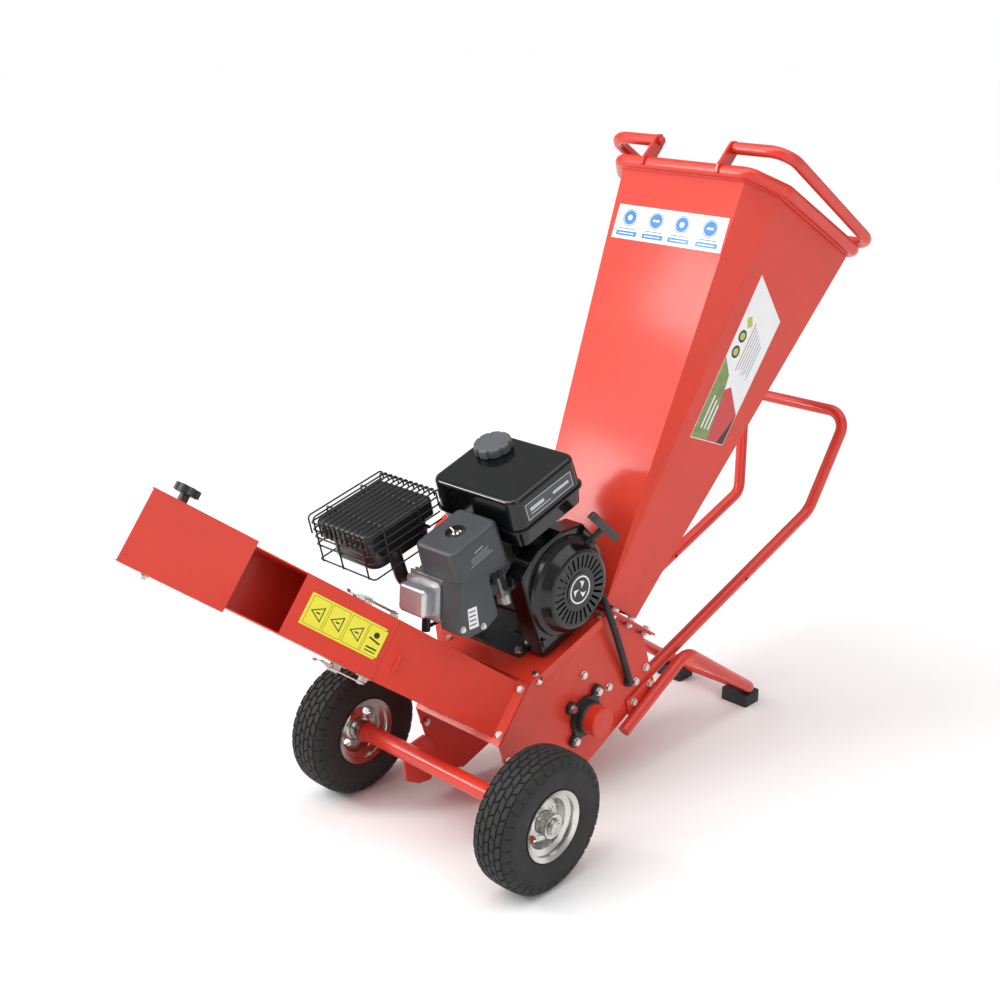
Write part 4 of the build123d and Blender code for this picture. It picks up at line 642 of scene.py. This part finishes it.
# yellow strip of plain triangles on the chute
o0 = C(0, 0, 0)
panel("label_yellow", o0, CD, CN, CO, quadp(354, 4, 152, 58), 0.25, M["yellow"])
for i, cx in enumerate((291, 329, 368, 407)):
    panel("label_panel_edge_%d" % i, o0, CD, CN, CO, quadp(cx, 4, 35.5, 51), 0.10, M["label_black"], lift=0.00045)
    panel("label_panel_%d" % i, o0, CD, CN, CO, quadp(cx, 4, 34.1, 49.6), 0.12, M["yellow"], lift=0.00050)
    if i > 0:
        panel("label_tri_%d" % i, o0, CD, CN, CO, [(cx - 11, -10), (cx - 11, 18), (cx + 13, 4)], 0.10, M["label_black"], lift=0.00062)
        panel("label_tri_in_%d" % i, o0, CD, CN, CO, [(cx - 9, -6.6), (cx - 9, 14.6), (cx + 9.2, 4)], 0.10, M["yellow"], lift=0.00070)
        panel("label_mark_%d" % i, o0, CD, CN, CO, quadp(cx - 2, 4, 8, 2.6), 0.10, M["label_black"], lift=0.00078)
    else:
        panel("label_disc", o0, CD, CN, CO, circle(cx, 15, 5.5), 0.10, M["label_black"], lift=0.00062)
        panel("label_bar_0", o0, CD, CN, CO, [(cx - 11, 1), (cx + 12, 6), (cx + 11, 9), (cx - 12, 4)], 0.10, M["label_black"], lift=0.00062)
        panel("label_bar_1", o0, CD, CN, CO, quadp(cx, -9, 22, 3), 0.10, M["label_black"], lift=0.00062)
        panel("label_bar_2", o0, CD, CN, CO, quadp(cx, -15, 22, 2), 0.10, M["label_black"], lift=0.00062)

# white strip with four plain discs on the front of the hopper
ho, hu, hn = W(0, 337, 391), Vector((0, .3873, .9220)), Vector((0, -.9220, .3873))
panel("strip_white", ho, XD, hu, hn, quadp(4, 717, 262, 67), 0.25, M["label_white"])
for i, cx in enumerate((-93, -29, 33, 99)):
    panel("strip_cell_edge_%d" % i, ho, XD, hu, hn, quadp(cx + 0.5, 717, 58, 60), 0.06, M["label_blue"], lift=0.00046)
    panel("strip_cell_%d" % i, ho, XD, hu, hn, quadp(cx + 0.5, 717, 56.8, 58.8), 0.06, M["label_white"], lift=0.00053)
    panel("strip_foot_%d" % i, ho, XD, hu, hn, quadp(cx + 0.5, 694.5, 50, 9.5), 0.06, M["label_blue"], lift=0.00060)
    ring("strip_ring_%d" % i, ho + XD * (cx / 1000) + hu * 0.7262, XD, hu, hn, 15.5, 17.0, 0.10, M["label_blue"], lift=0.00060)
    panel("strip_disc_%d" % i, ho, XD, hu, hn, circle(cx, 726.2, 14.2), 0.12, M["label_blue"], lift=0.00060)
    if i % 2 == 0:
        panel("strip_mark_%d" % i, ho, XD, hu, hn, circle(cx, 726.2, 5.5), 0.10, M["label_white"], lift=0.00073)
    else:
        panel("strip_mark_%d" % i, ho, XD, hu, hn, quadp(cx, 726.2, 15, 4.2), 0.10, M["label_white"], lift=0.00073)
    panel("strip_line_%d" % i, ho, XD, hu, hn, quadp(cx, 704.0, 40, 1.4), 0.06, M["label_black"], lift=0.00060)
    panel("strip_line2_%d" % i, ho, XD, hu, hn, quadp(cx, 694.5, 38, 1.8), 0.06, M["label_white"], lift=0.00067)

# decal on the right side of the hopper: plain fields of colour
so = W(105, 341, 388)
sn = Vector((.9953, -.048, -.0843)).normalized()
su = Vector((.097, .492, .8652))
su = (su - sn * su.dot(sn)).normalized()
sv = Vector((0, -.8693, .4943))
sv = (sv - sn * sv.dot(sn) - su * sv.dot(su)).normalized()


def dq(f, g):
    lx, ly = -13 - 6 * f, 685 - 334 * f
    rx, ry = -134 + 5 * f, 634 - 266 * f
    return (lx + (rx - lx) * g, ly + (ry - ly) * g)


panel("side_field", so, sv, su, sn, [dq(0, 0), dq(0, 1), dq(1, 1), dq(1, 0)], 0.22, M["label_white"])
panel("side_field_green", so, sv, su, sn, [dq(.50, .01), dq(.57, .30), dq(.66, .36), dq(.995, .48), dq(.995, .01)], 0.10, M["label_green"], lift=0.00044)
panel("side_field_red", so, sv, su, sn, [dq(.66, .36), dq(.62, .50), dq(.76, .99), dq(.995, .78), dq(.995, .48)], 0.10, M["label_red"], lift=0.00044)
panel("side_field_black", so, sv, su, sn, [dq(.76, .99), dq(.995, .99), dq(.995, .78)], 0.10, M["label_black"], lift=0.00044)
for i, (f, g, rr) in enumerate(((.335, .20, 12.5), (.435, .20, 12.5))):
    cv, cu_ = dq(f, g)
    panel("side_disc_%d" % i, so, sv, su, sn, circle(cv, cu_, rr), 0.10, M["label_black"], lift=0.00056)
    panel("side_disc_in_%d" % i, so, sv, su, sn, circle(cv, cu_, rr * 0.62), 0.10, M["label_lime"], lift=0.00070)
panel("side_leaf", so, sv, su, sn, [dq(.20, .22), dq(.235, .34), dq(.275, .24), dq(.24, .12)], 0.10, M["label_lime"], lift=0.00056)
for i in range(7):
    g0 = .40 + .065 * i
    panel("side_line_%d" % i, so, sv, su, sn, [dq(.20 + .01 * i, g0), dq(.52 - .015 * (i % 3), g0), dq(.52 - .015 * (i % 3), g0 + .018), dq(.20 + .01 * i, g0 + .018)],
          0.08, M["label_red"] if i == 0 else M["label_grey"], lift=0.00056)
for i in range(3):
    g0 = .16 + .10 * i
    panel("side_bar_%d" % i, so, sv, su, sn, [dq(.72 + .02 * i, g0), dq(.93, g0), dq(.93, g0 + .035), dq(.72 + .02 * i, g0 + .035)], 0.08,
          M["label_white"], lift=0.00056)

# strip on the side of the fuel tank
t3 = math.radians(3)
to_, tu = B(102.5, 0, 273), ZP * math.cos(t3) - XD * math.sin(t3)
tn = XD * math.cos(t3) + ZP * math.sin(t3)
panel("tank_strip", to_, YP, tu, tn, [(106, 12), (228, 12), (228, 41), (106, 44)], 0.2, M["label_silver"])
panel("tank_strip_in", to_, YP, tu, tn, [(107.4, 13.4), (226.6, 13.4), (226.6, 39.7), (107.4, 42.6)], 0.1, M["label_dark"], lift=0.00042)
panel("tank_strip_bar", to_, YP, tu, tn, [(116, 26), (152, 25.5), (152, 32), (116, 33)], 0.08, M["label_silver"], lift=0.00054)
panel("tank_strip_bar2", to_, YP, tu, tn, [(116, 20.5), (168, 20), (168, 21.6), (116, 22.2)], 0.08, M["label_silver"], lift=0.00054)
panel("tank_strip_bar3", to_, YP, tu, tn, [(176, 24), (218, 23.5), (218, 29), (176, 30)], 0.08, M["label_silver"], lift=0.00054)

# small plate and two screws on the air cleaner
panel("cleaner_plate", B(66, 0, 0), YP, ZP, XD, [(-50, 187), (-29, 180), (-36, 140), (-58, 147.5)], 0.3, M["label_white"])
for i in range(4):
    panel("cleaner_plate_line_%d" % i, B(66, 0, 0), YP, ZP, XD,
          [(-49.5 - 1.6 * i, 180.5 - 8.5 * i), (-34 - 1.6 * i, 175.5 - 8.5 * i), (-34.4 - 1.6 * i, 173.3 - 8.5 * i), (-49.9 - 1.6 * i, 178.3 - 8.5 * i)],
          0.1, M["label_black"], lift=0.0006)
for i, (yy, zz) in enumerate(((-72, 158), (-27, 133))):
    panel("cleaner_washer_%d" % i, B(66, 0, 0), YP, ZP, XD, circle(yy, zz, 6.2, 28), 0.9, M["zinc"])
    panel("cleaner_screw_%d" % i, B(66, 0, 0), YP, ZP, XD, circle(yy, zz, 4.6, 6, 0.3), 3.6, M["zinc"], lift=0.0010)



def face_hit(name, p, d):
    """Where a ray meets a node's own surface, in the shared frame."""
    o = N[name]
    inv = o.matrix_world.inverted()
    ok, loc_, nor, _ = o.ray_cast(inv @ p, (inv.to_3x3() @ d).normalized())
    return (o.matrix_world @ loc_, (o.matrix_world.to_3x3() @ nor).normalized()) if ok else (None, None)


bpy.context.view_layer.update()
hp, hnm = face_hit("air_cleaner_cover", B(150, 6, 268), -XD)
if hp is not None:
    hv = (YP - hnm * YP.dot(hnm)).normalized()
    hw = hnm.cross(hv).normalized()
    if hw.dot(ZP) < 0:
        hw = -hw
    for i, (l0, l1, hh, tt) in enumerate(((-9, 13, 9, 2.6), (-20, 24, 2.5, 1.1), (-22, 22, -1.5, 1.1), (-20, 26, -6, 1.1), (-26, 30, -11, 1.3))):
        panel("cover_line_%d" % i, hp, hv, hw, hnm, [(l0, hh), (l1, hh + 1.5), (l1, hh + 1.5 + tt), (l0, hh + tt)], 0.10, M["label_grey"], "chassis", lift=0.00015)

# ring and a plain three-blade fan on the starter badge
bo = B(131.5, 158, 106)
ring("badge_ring", bo, YP, ZP, XD, 24.0, 27.0, 0.25, M["label_white"], n=72)
for i in range(3):
    a0 = 2 * math.pi * i / 3 + 0.5
    pl = []
    for k in range(9):
        f = k / 8
        pl.append((4 + 14 * f, 0.15 + 0.75 * f))
    for k in range(9):
        f = 1 - k / 8
        pl.append((4 + 14 * f, -0.10 + 0.25 * f))
    panel("badge_blade_%d" % i, bo, YP, ZP, XD, [(r * math.cos(a0 + q), r * math.sin(a0 + q)) for r, q in pl], 0.2, M["label_white"])

# --------------------------------------------------------------------------
# welded seams
# --------------------------------------------------------------------------
def bead(name, pts, r, body="chassis", seed=1):
    rng = random.Random(seed)
    dense = []
    for i in range(len(pts) - 1):
        k = max(1, int((pts[i + 1] - pts[i]).length / 0.0013))
        for q in range(k):
            dense.append(pts[i].lerp(pts[i + 1], q / k))
    dense.append(pts[-1])
    rads = [r * (0.87 + 0.13 * abs(math.sin(i * 0.9)) + rng.uniform(-0.03, 0.03)) for i in range(len(dense))]
    return tube_mesh(name, dense, r, M["tube_paint"], body, seg=10, rads=rads)


mouth = [R3(-187.3, 350, 2.6), R3(-187.3, 63, 3.6), R3(-146.5, -0.8, 2.0), R3(146.5, -0.8, 2.0), R3(187.3, 63, 3.6), R3(187.3, 350, 2.6)]
bead("weld_mouth", spline_points([mouth[0], mouth[0].lerp(mouth[1], 0.96), mouth[1], mouth[1].lerp(mouth[2], 0.15), mouth[1].lerp(mouth[2], 0.85),
                                  mouth[2], mouth[2].lerp(mouth[3], 0.03), mouth[2].lerp(mouth[3], 0.97), mouth[3], mouth[3].lerp(mouth[4], 0.15),
                                  mouth[3].lerp(mouth[4], 0.85), mouth[4], mouth[4].lerp(mouth[5], 0.04), mouth[5]], 24), 0.0033)

# --------------------------------------------------------------------------
# camera, light and floor
# --------------------------------------------------------------------------
AZ, EL, ROLL = math.radians(43.8631), math.radians(19.6383), math.radians(-0.16448)
fwd = Vector((-math.sin(AZ) * math.cos(EL), math.cos(AZ) * math.cos(EL), -math.sin(EL)))
right = Vector((math.cos(AZ), math.sin(AZ), 0))
down = fwd.cross(right)
r2 = right * math.cos(ROLL) + down * math.sin(ROLL)
d2 = -right * math.sin(ROLL) + down * math.cos(ROLL)
cam_data = bpy.data.cameras.new("cam")
cam_data.sensor_width = 36.0
cam_data.lens = 1482.564 * 36.0 / 1000.0
cam_data.clip_start = 0.05
cam = bpy.data.objects.new("cam", cam_data)
bpy.context.scene.collection.objects.link(cam)
mw = Matrix.Identity(4)
for i in range(3):
    mw[i][0], mw[i][1], mw[i][2] = r2[i], -d2[i], -fwd[i]
loc = W(1742.18, -1656.98, 1513.41)
mw[0][3], mw[1][3], mw[2][3] = loc
cam.matrix_world = mw
bpy.context.scene.camera = cam

fm, fnt, fbs = new_mat("pale_floor")
fbs.inputs["Base Color"].default_value = (0.86, 0.86, 0.86, 1)
fbs.inputs["Roughness"].default_value = 0.9
bpy.ops.mesh.primitive_plane_add(size=40, location=(0, 0, -0.0005))
floor = bpy.context.object
floor.name = "floor"
floor.data.materials.append(fm)


def area(name, loc, target, size, energy, col=(1, 1, 1), size_y=None):
    d = bpy.data.lights.new(name, "AREA")
    d.energy = energy
    d.size = size
    if size_y:
        d.shape = "RECTANGLE"
        d.size_y = size_y
    d.color = col
    o = bpy.data.objects.new(name, d)
    bpy.context.scene.collection.objects.link(o)
    o.location = loc
    o.rotation_euler = (Vector(target) - Vector(loc)).to_track_quat("-Z", "Y").to_euler()
    return o


def sun(name, direction, energy, angle, col=(1, 1, 1)):
    d = bpy.data.lights.new(name, "SUN")
    d.energy = energy
    d.angle = math.radians(angle)
    d.color = col
    o = bpy.data.objects.new(name, d)
    bpy.context.scene.collection.objects.link(o)
    o.rotation_euler = Vector(direction).to_track_quat("-Z", "Y").to_euler()
    return o


sun("broad_key", (0.30, 0.62, -1.0), 1.62, 50)
sun("broad_top", (-0.25, -0.10, -1.0), 1.15, 60)
area("key", (-1.2, -3.0, 3.0), (0, 0, 0.5), 2.0, 26)
area("fill", (3.4, -0.8, 2.0), (0, 0, 0.6), 2.0, 22)
def mirror_light(name, p, n, dist, size, energy):
    v = (loc - p).normalized()
    r_ = (n * (2 * n.dot(v)) - v).normalized()
    return area(name, p + r_ * dist, p, size, energy)


mirror_light("sheen_low", ho + hu * 0.16 + XD * 0.03, hn, 2.3, 0.42, 13)
mirror_light("sheen_high", ho + hu * 0.60 + XD * 0.12, hn, 2.3, 0.30, 6)
wd = bpy.data.worlds.new("studio")
bpy.context.scene.world = wd
wd.use_nodes = True
wnt = wd.node_tree
wnt.nodes.clear()
wo = wnt.nodes.new("ShaderNodeOutputWorld")
bg = wnt.nodes.new("ShaderNodeBackground")
bg.inputs["Color"].default_value = (1, 1, 1, 1)
lp = wnt.nodes.new("ShaderNodeLightPath")
mr = wnt.nodes.new("ShaderNodeMapRange")
mr.inputs["To Min"].default_value = 0.42
mr.inputs["To Max"].default_value = 1.0
wnt.links.new(lp.outputs["Is Camera Ray"], mr.inputs["Value"])
wnt.links.new(mr.outputs[0], bg.inputs["Strength"])
wnt.links.new(bg.outputs[0], wo.inputs[0])
bpy.context.scene.view_settings.view_transform = "Standard"

bpy.context.view_layer.update()
